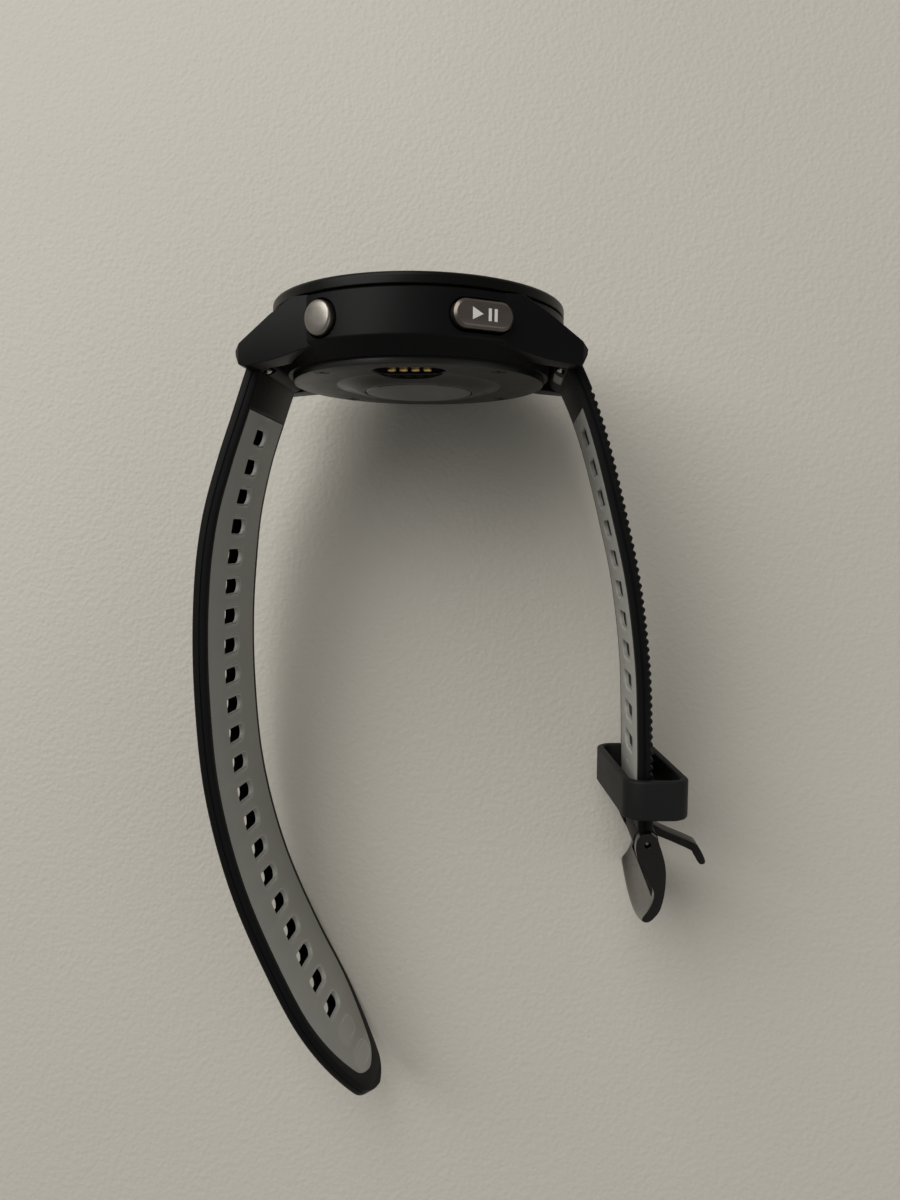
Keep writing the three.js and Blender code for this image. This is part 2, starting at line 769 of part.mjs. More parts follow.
// ---- keeper and buckle ----
// Its room takes the strap across its corners, since it sits askew.
function makeKeeper() {
  const skew = keeperSkew * degrees;
  const reach = strapMiddle * Math.cos(skew) + (strapWidth / 2) * Math.sin(skew);
  const inner = { width: strapWidth + 2 * keeperSideGap, depth: 2 * (reach + keeperFaceGap) };
  const outerShape = roundedRectangle(inner.width + 2 * keeperWall, inner.depth + 2 * keeperWall, 2.6);
  outerShape.holes.push(roundedRectangle(inner.width, inner.depth, 1.5));
  const loop = prism(outerShape, -keeperLength / 2, keeperLength / 2, 4);
  loop.rotateX(-Math.PI / 2).rotateY((90 - keeperSkew) * degrees);
  loop.translate(buckleBar.x - keeperOffset, buckleBar.y - keeperFromBar, 0);
  add('keeper', loop, paint(0x1c1c1e, 0.7, 0));
}

// The buckle's side outline: u points away from the wrist and v away from the strap.
function buckleShape(points) {
  return points.map(([u, v]) => [buckleBar.x - u, buckleBar.y + v]);
}

function makeBuckle() {
  const inner = strapWidth / 2 + buckleSideGap;
  const outer = inner + buckleWall;
  const leaf = outline(buckleShape([
    [-1.75, 0], [-1.3, -1.2], [0, -1.75], [1.3, -1.2], [1.8, 0], [2.5, 2.2], [2.8, 4.2], [2.75, 6.5],
    [2.4, 8.8], [1.6, 11.0], [0.5, 12.8], [-0.1, 12.9], [-0.2, 12.4], [0.8, 10.6], [1.15, 8.8],
    [1.05, 7.1], [0.1, 5.2], [-0.95, 3.3], [-1.6, 1.6],
  ]));
  const { x, y } = buckleBar;
  const frame = carve(prism(leaf, -outer, outer), [
    block([x - 6, y - 4, -inner], [x + 6, y + 8.6, inner]),
    rodAlongZ(buckleBarRadius + 0.1, x, y, -outer - 1, outer + 1),
  ]);
  add('buckle_frame', frame, paint(0x4a443e, 0.3, 0.9));
  const barEnd = outer - 0.2;
  add('buckle_bar', rodAlongZ(buckleBarRadius, x, y, -barEnd, barEnd), paint(0xb5b2ad, 0.2, 1));
  const blade = outline(buckleShape([
    [0.2, -1.0], [4.1, 1.15], [8.9, 3.1], [10.0, 4.0], [11.0, 6.2],
    [10.1, 6.6], [9.0, 4.9], [8.3, 4.2], [3.7, 2.3], [-0.2, 1.0],
  ]));
  const halfWidth = tongueWidth / 2;
  const tongue = carve(
    join(prism(blade, -halfWidth, halfWidth), rodAlongZ(1.5, x, y, -halfWidth, halfWidth)),
    [rodAlongZ(buckleBarRadius + 0.1, x, y, -halfWidth - 1, halfWidth + 1)],
  );
  add('tongue', tongue, paint(0x4a443e, 0.35, 0.85));
}

makeFront();
makeGasket('bezel_gasket', frontGasketInner, caseTop - gasketProud);
makeMidCase();
makeButtons();
makeGasket('back_gasket', backGasketInner, caseBottom - gasketThickness + gasketProud);
makeBackCover();
makeScrews();
makeContacts();
makeInside();
makeStraps();
makeSpringBar('long_strap_bar', 1);
makeSpringBar('short_strap_bar', -1);
makeKeeper();
makeBuckle();

// The watch leans until it rests, then stands on Z = 0 with the origin under its middle.
const group = new THREE.Group();
watch.rotation.set(restLean * degrees, restRoll * degrees, 0);
group.add(watch);
group.updateMatrixWorld(true);
const room = new THREE.Box3().setFromObject(group, true);
const middle = room.getCenter(new THREE.Vector3());
watch.position.set(-middle.x, -middle.y, -room.min.z);
group.updateMatrixWorld(true);

export default group;
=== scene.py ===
"""GPS running watch on a two-tone strap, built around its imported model.

Shapes are drawn in the watch's own millimetres: X to 6 o'clock, Y from the glass to the
case back, Z to 3 o'clock. They are moved into the row's metres as each piece is finished.
"""
import json
import math

import bmesh
import bpy
from bpy.props import FloatProperty, FloatVectorProperty, IntProperty, PointerProperty
from mathutils import Matrix, Vector
from mathutils.kdtree import KDTree

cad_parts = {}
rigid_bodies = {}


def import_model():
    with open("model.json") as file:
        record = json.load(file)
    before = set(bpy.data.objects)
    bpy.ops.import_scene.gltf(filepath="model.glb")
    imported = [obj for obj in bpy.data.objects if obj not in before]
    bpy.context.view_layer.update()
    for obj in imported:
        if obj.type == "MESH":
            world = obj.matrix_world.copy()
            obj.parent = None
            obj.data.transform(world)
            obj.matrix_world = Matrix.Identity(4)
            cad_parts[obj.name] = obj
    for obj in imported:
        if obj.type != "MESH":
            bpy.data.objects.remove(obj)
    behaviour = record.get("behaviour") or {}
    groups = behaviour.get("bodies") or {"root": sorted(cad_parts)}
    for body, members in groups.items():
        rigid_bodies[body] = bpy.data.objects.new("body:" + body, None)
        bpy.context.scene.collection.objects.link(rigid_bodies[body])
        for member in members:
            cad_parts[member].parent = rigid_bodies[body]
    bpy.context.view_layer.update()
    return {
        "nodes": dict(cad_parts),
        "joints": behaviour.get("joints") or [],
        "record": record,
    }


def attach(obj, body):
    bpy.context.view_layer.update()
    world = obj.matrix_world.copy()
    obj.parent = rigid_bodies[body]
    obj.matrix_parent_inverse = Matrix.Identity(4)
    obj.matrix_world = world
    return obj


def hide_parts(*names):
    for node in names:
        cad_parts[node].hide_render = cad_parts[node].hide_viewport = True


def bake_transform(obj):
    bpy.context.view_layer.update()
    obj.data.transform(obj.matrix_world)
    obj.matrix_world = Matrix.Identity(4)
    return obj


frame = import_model()

bl_info = {
    "name": "GPS Running Watch",
    "version": (1, 0, 0),
    "blender": (4, 5, 0),
    "location": "View3D > Sidebar > Watch",
    "description": "Builds a round sports watch with a perforated two-tone strap",
    "category": "Add Mesh",
}

MM = 0.001
ROUND = 192
SMALL_ROUND = 48


# ---- the watch's own frame, from its two strap hinges ----
def joint(name):
    return next(item for item in frame["joints"] if item["name"] == name)


def watch_matrix(bar_depth):
    """The watch's millimetres to the row's metres."""
    long_bar = Vector(joint("long_strap_swing")["pos_m"])
    short_bar = Vector(joint("short_strap_swing")["pos_m"])
    to_six = (long_bar - short_bar).normalized()
    to_three = Vector(joint("short_strap_swing")["axis"]).normalized()
    to_back = to_three.cross(to_six).normalized()
    origin = (long_bar + short_bar) / 2 - to_back * bar_depth * MM
    turn = Matrix((to_six, to_back, to_three)).transposed().to_4x4()
    return Matrix.Translation(origin) @ turn @ Matrix.Scale(MM, 4)


def bar_reach():
    """From the watch's middle to a spring bar, in millimetres."""
    long_bar = Vector(joint("long_strap_swing")["pos_m"])
    short_bar = Vector(joint("short_strap_swing")["pos_m"])
    return (long_bar - short_bar).length / MM / 2


BAR_DEPTH = 8.8
BAR_REACH = bar_reach()
WATCH = watch_matrix(BAR_DEPTH)


def from_watch(x, y, z):
    return WATCH @ Vector((x, y, z))


# ---- sizes and colours a user may change ----
def length(name, value, text):
    return FloatProperty(name=name, default=value, description=text, min=0.0, unit="NONE")


def colour(name, value, text):
    return FloatVectorProperty(
        name=name, default=value, description=text, size=3, min=0.0, max=1.0, subtype="COLOR"
    )


class WatchCase(bpy.types.PropertyGroup):
    """Sizes of the case, in millimetres."""

    radius: length("Case radius", 23.05, "Outside radius of the case wall")
    bezel_height: length("Bezel height", 1.75, "Height of the bezel above its seam")
    back: length("Case back", 10.9, "Where the case meets the back cover")
    cover_radius: length("Cover radius", 20.0, "Outside radius of the back cover")
    dome_radius: length("Dome radius", 13.2, "Radius of the raised dome on the back")
    window_radius: length("Window radius", 8.45, "Radius of the sensor window")
    button_height: length("Button height", 5.6, "Height of the buttons from the bezel's front")
    lug_inside: length("Lug inside", 11.25, "Half of the gap between the lugs")
    lug_outside: length("Lug outside", 14.5, "Half of the width across the lugs")


class WatchStrap(bpy.types.PropertyGroup):
    """Sizes of the strap, in millimetres."""

    width: length("Strap width", 21.9, "Width of the strap")
    thickness: length("Strap thickness", 2.4, "Thickness of the strap with its lining")
    lining: length("Lining thickness", 0.7, "Thickness of the grey lining")
    rim: length("Rim width", 1.0, "Width of the black rim beside the lining")
    pitch: length("Hole pitch", 4.97, "Distance from one hole to the next")
    first_hole: length("First hole", 11.9, "Distance of the first hole from the spring bar")
    holes: IntProperty(name="Holes", default=21, min=1, description="Holes in the long half")
    pockets: IntProperty(name="Pockets", default=11, min=1, description="Pockets in the short half")
    ridge_depth: length("Ridge depth", 0.3, "Depth of the fine ridges on the short half")


class WatchColours(bpy.types.PropertyGroup):
    """Colours of the finishes."""

    case: colour("Case", (0.003, 0.003, 0.0033), "Satin black polymer")
    bezel: colour("Bezel", (0.0024, 0.0023, 0.0022), "Brown-black bezel")
    cover: colour("Back cover", (0.009, 0.009, 0.0086), "Dark grey back cover")
    button: colour("Buttons", (0.27, 0.25, 0.225), "Warm pewter buttons")
    start: colour("Long button", (0.15, 0.13, 0.115), "Dark brushed long button")
    strap: colour("Strap", (0.0028, 0.0028, 0.003), "Black silicone")
    lining: colour("Lining", (0.30, 0.298, 0.275), "Grey silicone lining")
    buckle: colour("Buckle", (0.034, 0.031, 0.028), "Gunmetal buckle")
    gold: colour("Contacts", (0.86, 0.62, 0.24), "Gilt charging contacts")


def sizes():
    return bpy.context.scene.watch_case, bpy.context.scene.watch_strap, bpy.context.scene.watch_colours


# ---- node trees written as expressions ----
class Wire:
    """An output socket, on which sums and products add Math nodes."""

    def __init__(self, tree, socket):
        self.tree = tree
        self.socket = socket

    def math(self, operation, *others):
        values = {i: value for i, value in enumerate((self, *others))}
        return self.tree.add("ShaderNodeMath", {"operation": operation}, values)

    def __add__(self, other):
        return self.math("ADD", other)

    def __sub__(self, other):
        return self.math("SUBTRACT", other)

    def __mul__(self, other):
        return self.math("MULTIPLY", other)

    def __truediv__(self, other):
        return self.math("DIVIDE", other)

    def __rsub__(self, other):
        return self.tree.add("ShaderNodeMath", {"operation": "SUBTRACT"}, {0: other, 1: self})

    def __rtruediv__(self, other):
        return self.tree.add("ShaderNodeMath", {"operation": "DIVIDE"}, {0: other, 1: self})

    __radd__ = __add__
    __rmul__ = __mul__

    def __neg__(self):
        return self * -1.0

    def __abs__(self):
        return self.math("ABSOLUTE")

    def __mod__(self, step):
        return self.math("FLOORED_MODULO", step)

    def above(self, value):
        return self.math("GREATER_THAN", value)

    def below(self, value):
        return self.math("LESS_THAN", value)

    def larger(self, other):
        return self.math("MAXIMUM", other)

    def smaller(self, other):
        return self.math("MINIMUM", other)

    def fade(self, low, high):
        """0 at low and 1 at high, with a smooth step between."""
        settings = {"interpolation_type": "SMOOTHSTEP"}
        sockets = {"Value": self, "From Min": low, "From Max": high}
        return self.tree.add("ShaderNodeMapRange", settings, sockets)


class Tree:
    """A node tree to which nodes are added one by one."""

    def __init__(self, tree):
        self.tree = tree

    def add(self, kind, settings, sockets, output=0):
        """Adds a node, sets it up, fills its sockets and returns one of its outputs."""
        node = self.tree.nodes.new(kind)
        for key, value in settings.items():
            setattr(node, key, value)
        for key, value in sockets.items():
            if isinstance(value, (list, tuple)) and value and isinstance(value[0], Wire):
                for item in reversed(value):
                    self.fill(node.inputs[key], item)
            else:
                self.fill(node.inputs[key], value)
        return Wire(self, node.outputs[output]) if len(node.outputs) else node

    def fill(self, socket, value):
        if isinstance(value, Wire):
            self.tree.links.new(value.socket, socket)
        else:
            socket.default_value = value


def split(wire):
    """The three parts of a vector."""
    return tuple(wire.tree.add("ShaderNodeSeparateXYZ", {}, {0: wire}, i) for i in range(3))


# ---- materials ----
class Finish(Tree):
    """A material with one Principled shader."""

    def __init__(self, name, base, roughness, metallic=0.0, **fixed):
        self.material = bpy.data.materials.new(name)
        self.material.use_nodes = True
        super().__init__(self.material.node_tree)
        self.shader = self.tree.nodes["Principled BSDF"]
        self.shade("Base Color", (*base, 1.0))
        self.shade("Roughness", roughness)
        self.shade("Metallic", metallic)
        for key, value in fixed.items():
            self.shade(key.replace("_", " "), value)

    def shade(self, key, value):
        self.fill(self.shader.inputs[key], value)

    def place(self):
        """Object coordinates turned into the watch's own millimetres."""
        raw = self.add("ShaderNodeTexCoord", {}, {}, "Object")
        turn = WATCH.to_euler("XYZ")
        sockets = {"Vector": raw, "Location": WATCH.translation, "Rotation": turn, "Scale": (MM, MM, MM)}
        return self.add("ShaderNodeMapping", {"vector_type": "TEXTURE"}, sockets)

    def own_place(self):
        """The place on a strap: along, across and depth, in millimetres."""
        return self.add("ShaderNodeAttribute", {"attribute_name": "strap_place"}, {}, "Vector")

    def stretch(self, place, scale):
        settings = {"operation": "MULTIPLY"}
        return self.add("ShaderNodeVectorMath", settings, {0: place, 1: scale})

    def noise(self, place, scale, detail=3.0, roughness=0.55):
        sockets = {"Vector": place, "Scale": scale, "Detail": detail, "Roughness": roughness}
        return self.add("ShaderNodeTexNoise", {}, sockets, 0)

    def grains(self, place, scale):
        return self.add("ShaderNodeTexVoronoi", {}, {"Vector": place, "Scale": scale}, 0)

    def mix(self, amount, first, second):
        """One colour over another, by an amount from 0 to 1."""
        sockets = {0: amount, 6: self.solid(first), 7: self.solid(second)}
        return self.add("ShaderNodeMix", {"data_type": "RGBA"}, sockets, 2)

    @staticmethod
    def solid(value):
        return value if isinstance(value, Wire) else (*value, 1.0)

    def bump(self, height, strength, distance, under=None):
        sockets = {"Height": height, "Strength": strength, "Distance": distance}
        if under is not None:
            sockets["Normal"] = under
        return self.add("ShaderNodeBump", {}, sockets)


POLYMER_GLOSS = 0.12


def darker(base, share):
    return tuple(value * share for value in base)


def moulded(name, base, roughness, grain=9.0, depth=0.012, dust=0.35, **fixed):
    """Moulded polymer or silicone: fine grain, uneven gloss and a little dust."""
    finish = Finish(name, base, roughness, Specular_IOR_Level=POLYMER_GLOSS, **fixed)
    place = finish.place()
    fine = finish.noise(place, grain, 2.0)
    cloud = finish.noise(place, 0.22, 4.0)
    specks = finish.noise(place, 1.7, 6.0, 0.7).fade(0.62, 0.78)
    finish.shade("Base Color", finish.mix(specks * dust, darker(base, 0.9), darker(base, 1.9)))
    finish.shade("Roughness", roughness - 0.07 + cloud * 0.1 + specks * 0.08 + fine * 0.05)
    finish.shade("Normal", finish.bump(fine, 0.35, depth * MM))
    return finish


def brushed(name, base, roughness, direction, wear=0.5, **fixed):
    """Brushed metal: long fine lines, and brighter rubbed patches."""
    finish = Finish(name, base, roughness, 1.0, **fixed)
    place = finish.place()
    lines = finish.noise(finish.stretch(place, direction), 1.0, 4.0, 0.6)
    cloud = finish.noise(place, 0.5, 4.0)
    worn = cloud.fade(0.5, 0.75)
    finish.shade("Base Color", finish.mix(worn * wear, base, darker(base, 1.6)))
    finish.shade("Roughness", roughness - 0.08 + lines * 0.14 + cloud * 0.08)
    finish.shade("Normal", finish.bump(lines, 0.25, 0.01 * MM))
    return finish


# ---- mesh helpers ----
def sheet_of(bm, rings, closed_rings=True, closed_stack=False):
    """Faces between rings of corners; a ring of one corner is a pole."""
    pairs = list(zip(rings, rings[1:]))
    if closed_stack:
        pairs.append((rings[-1], rings[0]))
    for low, high in pairs:
        count = max(len(low), len(high))
        steps = count if closed_rings else count - 1
        for i in range(steps):
            j = (i + 1) % count
            if len(low) == 1:
                bm.faces.new((low[0], high[i], high[j]))
            elif len(high) == 1:
                bm.faces.new((low[i], low[j], high[0]))
            else:
                bm.faces.new((low[i], low[j], high[j], high[i]))


def full_turn(segments):
    return [2 * math.pi * i / segments for i in range(segments)]


def lathe(profile, segments=ROUND, closed=False):
    """Turns (radius, y) points round the Y axis."""
    bm = bmesh.new()
    rings = []
    for radius, y in profile:
        if radius < 1e-6:
            rings.append([bm.verts.new((0, y, 0))])
            continue
        turns = full_turn(segments)
        rings.append([bm.verts.new((radius * math.cos(t), y, radius * math.sin(t))) for t in turns])
    sheet_of(bm, rings, True, closed)
    bmesh.ops.recalc_face_normals(bm, faces=bm.faces)
    return bm


def stack(outlines):
    """A closed body through outlines of 3-D points, with flat ends."""
    bm = bmesh.new()
    rings = [[bm.verts.new(point) for point in ring] for ring in outlines]
    sheet_of(bm, rings)
    bm.faces.new(rings[0])
    bm.faces.new(rings[-1])
    bmesh.ops.recalc_face_normals(bm, faces=bm.faces)
    return bm


def prism(points, low, high):
    """An outline in X and Y between two Z heights."""
    return stack([[(x, y, z) for x, y in points] for z in (low, high)])


def slab(points, low, high):
    """An outline in X and Z between two Y depths."""
    return stack([[(x, y, z) for x, z in points] for y in (low, high)])


def round_stack(levels, segments, x=0.0, y=0.0):
    """A closed body through circles, each given by its height and its radius."""
    turns = full_turn(segments)
    return stack([[(x + r * math.cos(t), y + r * math.sin(t), z) for t in turns] for z, r in levels])


def rod(radius, x, y, low, high, segments=SMALL_ROUND, soft=0.06):
    """A round rod along Z with softened ends."""
    levels = [(low, radius - soft), (low + soft, radius), (high - soft, radius), (high, radius - soft)]
    return round_stack(levels, segments, x, y)


def rounded_outline(width, height, radius, steps=8):
    """A rectangle with round corners, about the middle."""
    points = []
    for quarter, (sx, sy) in enumerate(((1, 1), (-1, 1), (-1, -1), (1, -1))):
        for i in range(steps + 1):
            turn = math.pi / 2 * (quarter + i / steps)
            x = sx * (width / 2 - radius) + radius * math.cos(turn)
            y = sy * (height / 2 - radius) + radius * math.sin(turn)
            points.append((x, y))
    return points


def smooth_line(points, steps=6, closed=False):
    """A smooth line through the points, passing each of them."""
    count = len(points)
    line = []
    spans = count if closed else count - 1
    for i in range(spans):
        corners = []
        for k in (-1, 0, 1, 2):
            index = (i + k) % count if closed else min(max(i + k, 0), count - 1)
            corners.append(Vector(points[index]))
        a, b, c, d = corners
        for step in range(steps):
            t = step / steps
            pull = (c - a) / 2
            push = (d - b) / 2
            near = b * (2 * t ** 3 - 3 * t ** 2 + 1) + pull * (t ** 3 - 2 * t ** 2 + t)
            line.append(near + c * (3 * t ** 2 - 2 * t ** 3) + push * (t ** 3 - t ** 2))
    if not closed:
        line.append(Vector(points[-1]))
    return line


def as_object(name, bm):
    mesh = bpy.data.meshes.new(name)
    bm.to_mesh(mesh)
    bm.free()
    obj = bpy.data.objects.new(name, mesh)
    bpy.context.scene.collection.objects.link(obj)
    return obj


def settle(obj):
    """Applies an object's modifiers to its mesh."""
    bpy.context.view_layer.update()
    graph = bpy.context.evaluated_depsgraph_get()
    mesh = bpy.data.meshes.new_from_object(obj.evaluated_get(graph))
    obj.modifiers.clear()
    old = obj.data
    obj.data = mesh
    bpy.data.meshes.remove(old)
    return obj


def drop(obj):
    data = obj.data
    bpy.data.objects.remove(obj)
    if isinstance(data, bpy.types.Mesh):
        bpy.data.meshes.remove(data)
    else:
        bpy.data.curves.remove(data)


def combine(target, tools, operation="DIFFERENCE"):
    """Cuts the tools out of a body, or joins them to it, and drops the tools."""
    for i, tool in enumerate(tools):
        cut = target.modifiers.new(f"{operation.lower()}_{i}", "BOOLEAN")
        cut.operation = operation
        cut.solver = "EXACT"
        cut.object = tool
    settle(target)
    for tool in tools:
        drop(tool)
    return target


def soften(obj, width, segments=3, angle=30.0):
    bevel = obj.modifiers.new("soft_edges", "BEVEL")
    bevel.width = width
    bevel.segments = segments
    bevel.limit_method = "ANGLE"
    bevel.angle_limit = math.radians(angle)
    bevel.use_clamp_overlap = True
    return obj


def turned(bm, angle, height):
    """Turns a shape drawn about +Z so that it faces out of the case wall."""
    turn = Matrix.Translation((0, height, 0)) @ Matrix.Rotation(math.radians(angle), 4, "Y")
    bmesh.ops.transform(bm, matrix=turn, verts=bm.verts)
    return bm


def finish_piece(obj, body, nodes, finish, crease=35.0):
    """Moves a piece into the row's metres, gives it its look and fixes it to its body."""
    obj.data.transform(WATCH)
    obj.data.materials.clear()
    obj.data.materials.append(finish.material)
    obj.data.shade_smooth()
    obj.data.set_sharp_from_angle(angle=math.radians(crease))
    if body is not None:
        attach(obj, body)
    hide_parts(*nodes)
    if obj.data is None or not obj.data.polygons:
        raise RuntimeError(f"{obj.name} has no faces")
    return obj


# ---- geometry node trees for what repeats ----
class Maker(Tree):
    """A geometry node tree with named inputs."""

    def __init__(self, name, inputs):
        group = bpy.data.node_groups.new(name, "GeometryNodeTree")
        super().__init__(group)
        group.interface.new_socket("Geometry", in_out="OUTPUT", socket_type="NodeSocketGeometry")
        group.interface.new_socket("Geometry", in_out="INPUT", socket_type="NodeSocketGeometry")
        self.ids = {}
        for label, kind in inputs.items():
            socket = group.interface.new_socket(label, in_out="INPUT", socket_type=f"NodeSocket{kind}")
            self.ids[label] = socket.identifier
        self.source = group.nodes.new("NodeGroupInput")

    def input(self, label):
        return Wire(self, self.source.outputs[label])

    def end(self, geometry):
        """Makes instances real, sets the material and ends the tree."""
        real = self.add("GeometryNodeRealizeInstances", {}, {0: geometry})
        dressed = self.add("GeometryNodeSetMaterial", {}, {0: real, "Material": self.input("Material")})
        sink = self.tree.nodes.new("NodeGroupOutput")
        self.tree.links.new(dressed.socket, sink.inputs[0])

    def run(self, obj, values):
        """Runs the tree on an object and leaves a plain mesh."""
        modifier = obj.modifiers.new(self.tree.name, "NODES")
        modifier.node_group = self.tree
        for label, value in values.items():
            modifier[self.ids[label]] = value
        return settle(obj)


def repeat_round():
    """Copies of one shape, evenly spaced round the Y axis."""
    inputs = {"Count": "Int", "Radius": "Float", "Start": "Float", "Material": "Material"}
    maker = Maker("copies_round", inputs)
    sockets = {"Vertices": maker.input("Count"), "Radius": maker.input("Radius")}
    ring = maker.add("GeometryNodeMeshCircle", {}, sockets)
    flat = maker.add("GeometryNodeTransform", {}, {0: ring, "Rotation": (math.pi / 2, 0, 0)})
    begin = maker.add("ShaderNodeCombineXYZ", {}, {"Y": maker.input("Start")})
    ring = maker.add("GeometryNodeTransform", {}, {0: flat, "Rotation": begin})
    x, _, z = split(maker.add("GeometryNodeInputPosition", {}, {}))
    face = maker.add("ShaderNodeCombineXYZ", {}, {"Y": (-z).math("ARCTAN2", x)})
    sockets = {0: ring, "Instance": maker.input("Geometry"), "Rotation": face}
    copies = maker.add("GeometryNodeInstanceOnPoints", {}, sockets)
    maker.end(copies)
    return maker


def repeat_line():
    """Copies of one shape along X, about the middle."""
    maker = Maker("copies_in_line", {"Count": "Int", "Pitch": "Float", "Material": "Material"})
    pitch = maker.input("Pitch")
    begin = maker.add("ShaderNodeCombineXYZ", {}, {"X": (maker.input("Count") - 1.0) * pitch * -0.5})
    step = maker.add("ShaderNodeCombineXYZ", {}, {"X": pitch})
    sockets = {"Count": maker.input("Count"), "Start Location": begin, "Offset": step}
    line = maker.add("GeometryNodeMeshLine", {}, sockets)
    copies = maker.add("GeometryNodeInstanceOnPoints", {}, {0: line, "Instance": maker.input("Geometry")})
    maker.end(copies)
    return maker


STRAP_INPUTS = {
    "Cutter": "Object", "Pocket": "Object", "Path": "Object", "First": "Float", "Pitch": "Float",
    "Count": "Int", "Side": "Float", "Twist": "Float", "Ridge Depth": "Float", "Ridge Pitch": "Float",
    "Ridge Start": "Float", "Ridge End": "Float", "Ridge Half Width": "Float", "Ridge Level": "Float",
    "Material": "Material",
}


def strap_maker():
    """Cuts the holes in a flat strap, ribs it, and bends it along a path."""
    maker = Maker("strap_on_path", STRAP_INPUTS)
    cutter = maker.add("GeometryNodeObjectInfo", {}, {"Object": maker.input("Cutter")}, "Geometry")
    pocket = maker.add("GeometryNodeObjectInfo", {}, {"Object": maker.input("Pocket")}, "Geometry")
    path = maker.add("GeometryNodeObjectInfo", {}, {"Object": maker.input("Path")}, "Geometry")
    begin = maker.add("ShaderNodeCombineXYZ", {}, {"X": maker.input("First")})
    step = maker.add("ShaderNodeCombineXYZ", {}, {"X": maker.input("Pitch")})
    sockets = {"Count": maker.input("Count"), "Start Location": begin, "Offset": step}
    line = maker.add("GeometryNodeMeshLine", {}, sockets)
    copies = maker.add("GeometryNodeInstanceOnPoints", {}, {0: line, "Instance": cutter})
    holes = maker.add("GeometryNodeRealizeInstances", {}, {0: copies})
    settings = {"operation": "DIFFERENCE", "solver": "EXACT"}
    sockets = {"Mesh 1": maker.input("Geometry"), "Mesh 2": [holes, pocket]}
    cut = maker.add("GeometryNodeMeshBoolean", settings, sockets)
    here = maker.add("GeometryNodeInputPosition", {}, {})
    along, across, depth = split(here)
    wave = ((along - maker.input("Ridge Start")) % maker.input("Ridge Pitch")) / maker.input("Ridge Pitch")
    groove = 1.0 - abs(wave - 0.5).fade(0.12, 0.34)
    on_face = depth.above(maker.input("Ridge Level"))
    middle = 1.0 - abs(across).fade(maker.input("Ridge Half Width") - 0.35, maker.input("Ridge Half Width"))
    in_run = along.fade(maker.input("Ridge Start"), maker.input("Ridge Start") + 0.6)
    in_run = in_run * (1.0 - along.fade(maker.input("Ridge End") - 0.6, maker.input("Ridge End")))
    ridge = groove * on_face * middle * in_run * maker.input("Ridge Depth")
    sunk = depth - ridge
    settings = {"data_type": "FLOAT_VECTOR", "domain": "POINT"}
    sockets = {0: cut, "Name": "strap_place", "Value": here}
    noted = maker.add("GeometryNodeStoreNamedAttribute", settings, sockets)
    settings = {"mode": "LENGTH", "use_all_curves": True}
    sampler = {"Curves": path, "Length": along}
    point = maker.add("GeometryNodeSampleCurve", settings, sampler, "Position")
    tangent = maker.add("GeometryNodeSampleCurve", settings, sampler, "Tangent")
    tx, ty, _ = split(tangent)
    px, py, _ = split(point)
    side = maker.input("Side")
    twist = along.fade(10.0, 35.0) * maker.input("Twist") * across
    x = px + ty * side * sunk + twist
    y = py - tx * side * sunk
    place = maker.add("ShaderNodeCombineXYZ", {}, {"X": x, "Y": y, "Z": across})
    bent = maker.add("GeometryNodeSetPosition", {}, {0: noted, "Position": place})
    maker.end(bent)
    return maker


# ---- strap shapes, flat ----
# Each path is (outwards, backwards) from the spring bar to the end of the strap half.
LONG_PATH = [
    (-1.2, 0.2), (1.5, 8.2), (4.2, 16.6), (6.4, 26.2), (7.6, 39.2), (7.5, 53.2),
    (6.0, 68.2), (2.1, 83.2), (-4.2, 97.8), (-10.8, 109.8), (-17.5, 120.5),
]
SHORT_PATH = [
    (-1.2, 0.3), (1.9, 7.2), (4.3, 14.4), (6.9, 24.4), (9.2, 34.7), (10.8, 46.7),
    (11.35, 57.2), (11.55, 65.2), (11.75, 73.2),
]
LONG_LENGTH = 127.02
SHORT_LENGTH = 74.68
LINING_START = 8.3
LONG_TWIST = 0.064
ROOT_RADIUS = 2.4
BUCKLE = (-(BAR_REACH + 12.95), BAR_DEPTH + 73.2)
# The holes' width across the strap and length along it.
HOLE = (6.2, 2.5)
POCKET = (9.0, 2.6)
HOLE_CORNER = 0.35


def path_line(points, side):
    """The strap's inner face as points, from a path past the spring bar."""
    return smooth_line([(side * (BAR_REACH + out), BAR_DEPTH + past) for out, past in points], 40)


def path_object(points, side):
    """The strap's inner face as a curve."""
    line = path_line(points, side)
    curve = bpy.data.curves.new("strap_path", "CURVE")
    curve.dimensions = "3D"
    spline = curve.splines.new("POLY")
    spline.points.add(len(line) - 1)
    for corner, (x, y) in zip(spline.points, line):
        corner.co = (x, y, 0, 1)
    obj = bpy.data.objects.new("strap_path", curve)
    bpy.context.scene.collection.objects.link(obj)
    return obj


def path_point(points, side, along, depth):
    """A point on the path, in the watch's millimetres."""
    line = path_line(points, side)
    for a, b in zip(line, line[1:]):
        step = (b - a).length
        if along <= step:
            ahead = (b - a).normalized()
            spot = a + ahead * along
            return (spot.x + ahead.y * side * depth, spot.y - ahead.x * side * depth, 0)
        along -= step
    raise ValueError("the path is shorter than that")


def nose(full, end, start, tip, rounding):
    """Half widths of a strap that narrows to a rounded nose."""
    def half_width(along):
        share = min(max((tip - along) / (tip - start), 0), 1)
        width = end + (full - end) * math.sin(share * math.pi / 2) ** 0.8
        past = max(along - (tip - rounding), 0) / rounding
        return max(width * math.sqrt(max(1 - past ** 2.4, 0)), 0.6)
    return half_width


def even(width):
    """A half width that stays the same along the strap."""
    def half_width(along):
        return width
    return half_width


def widened(half_width, more):
    def wider(along):
        return half_width(along) + more
    return wider


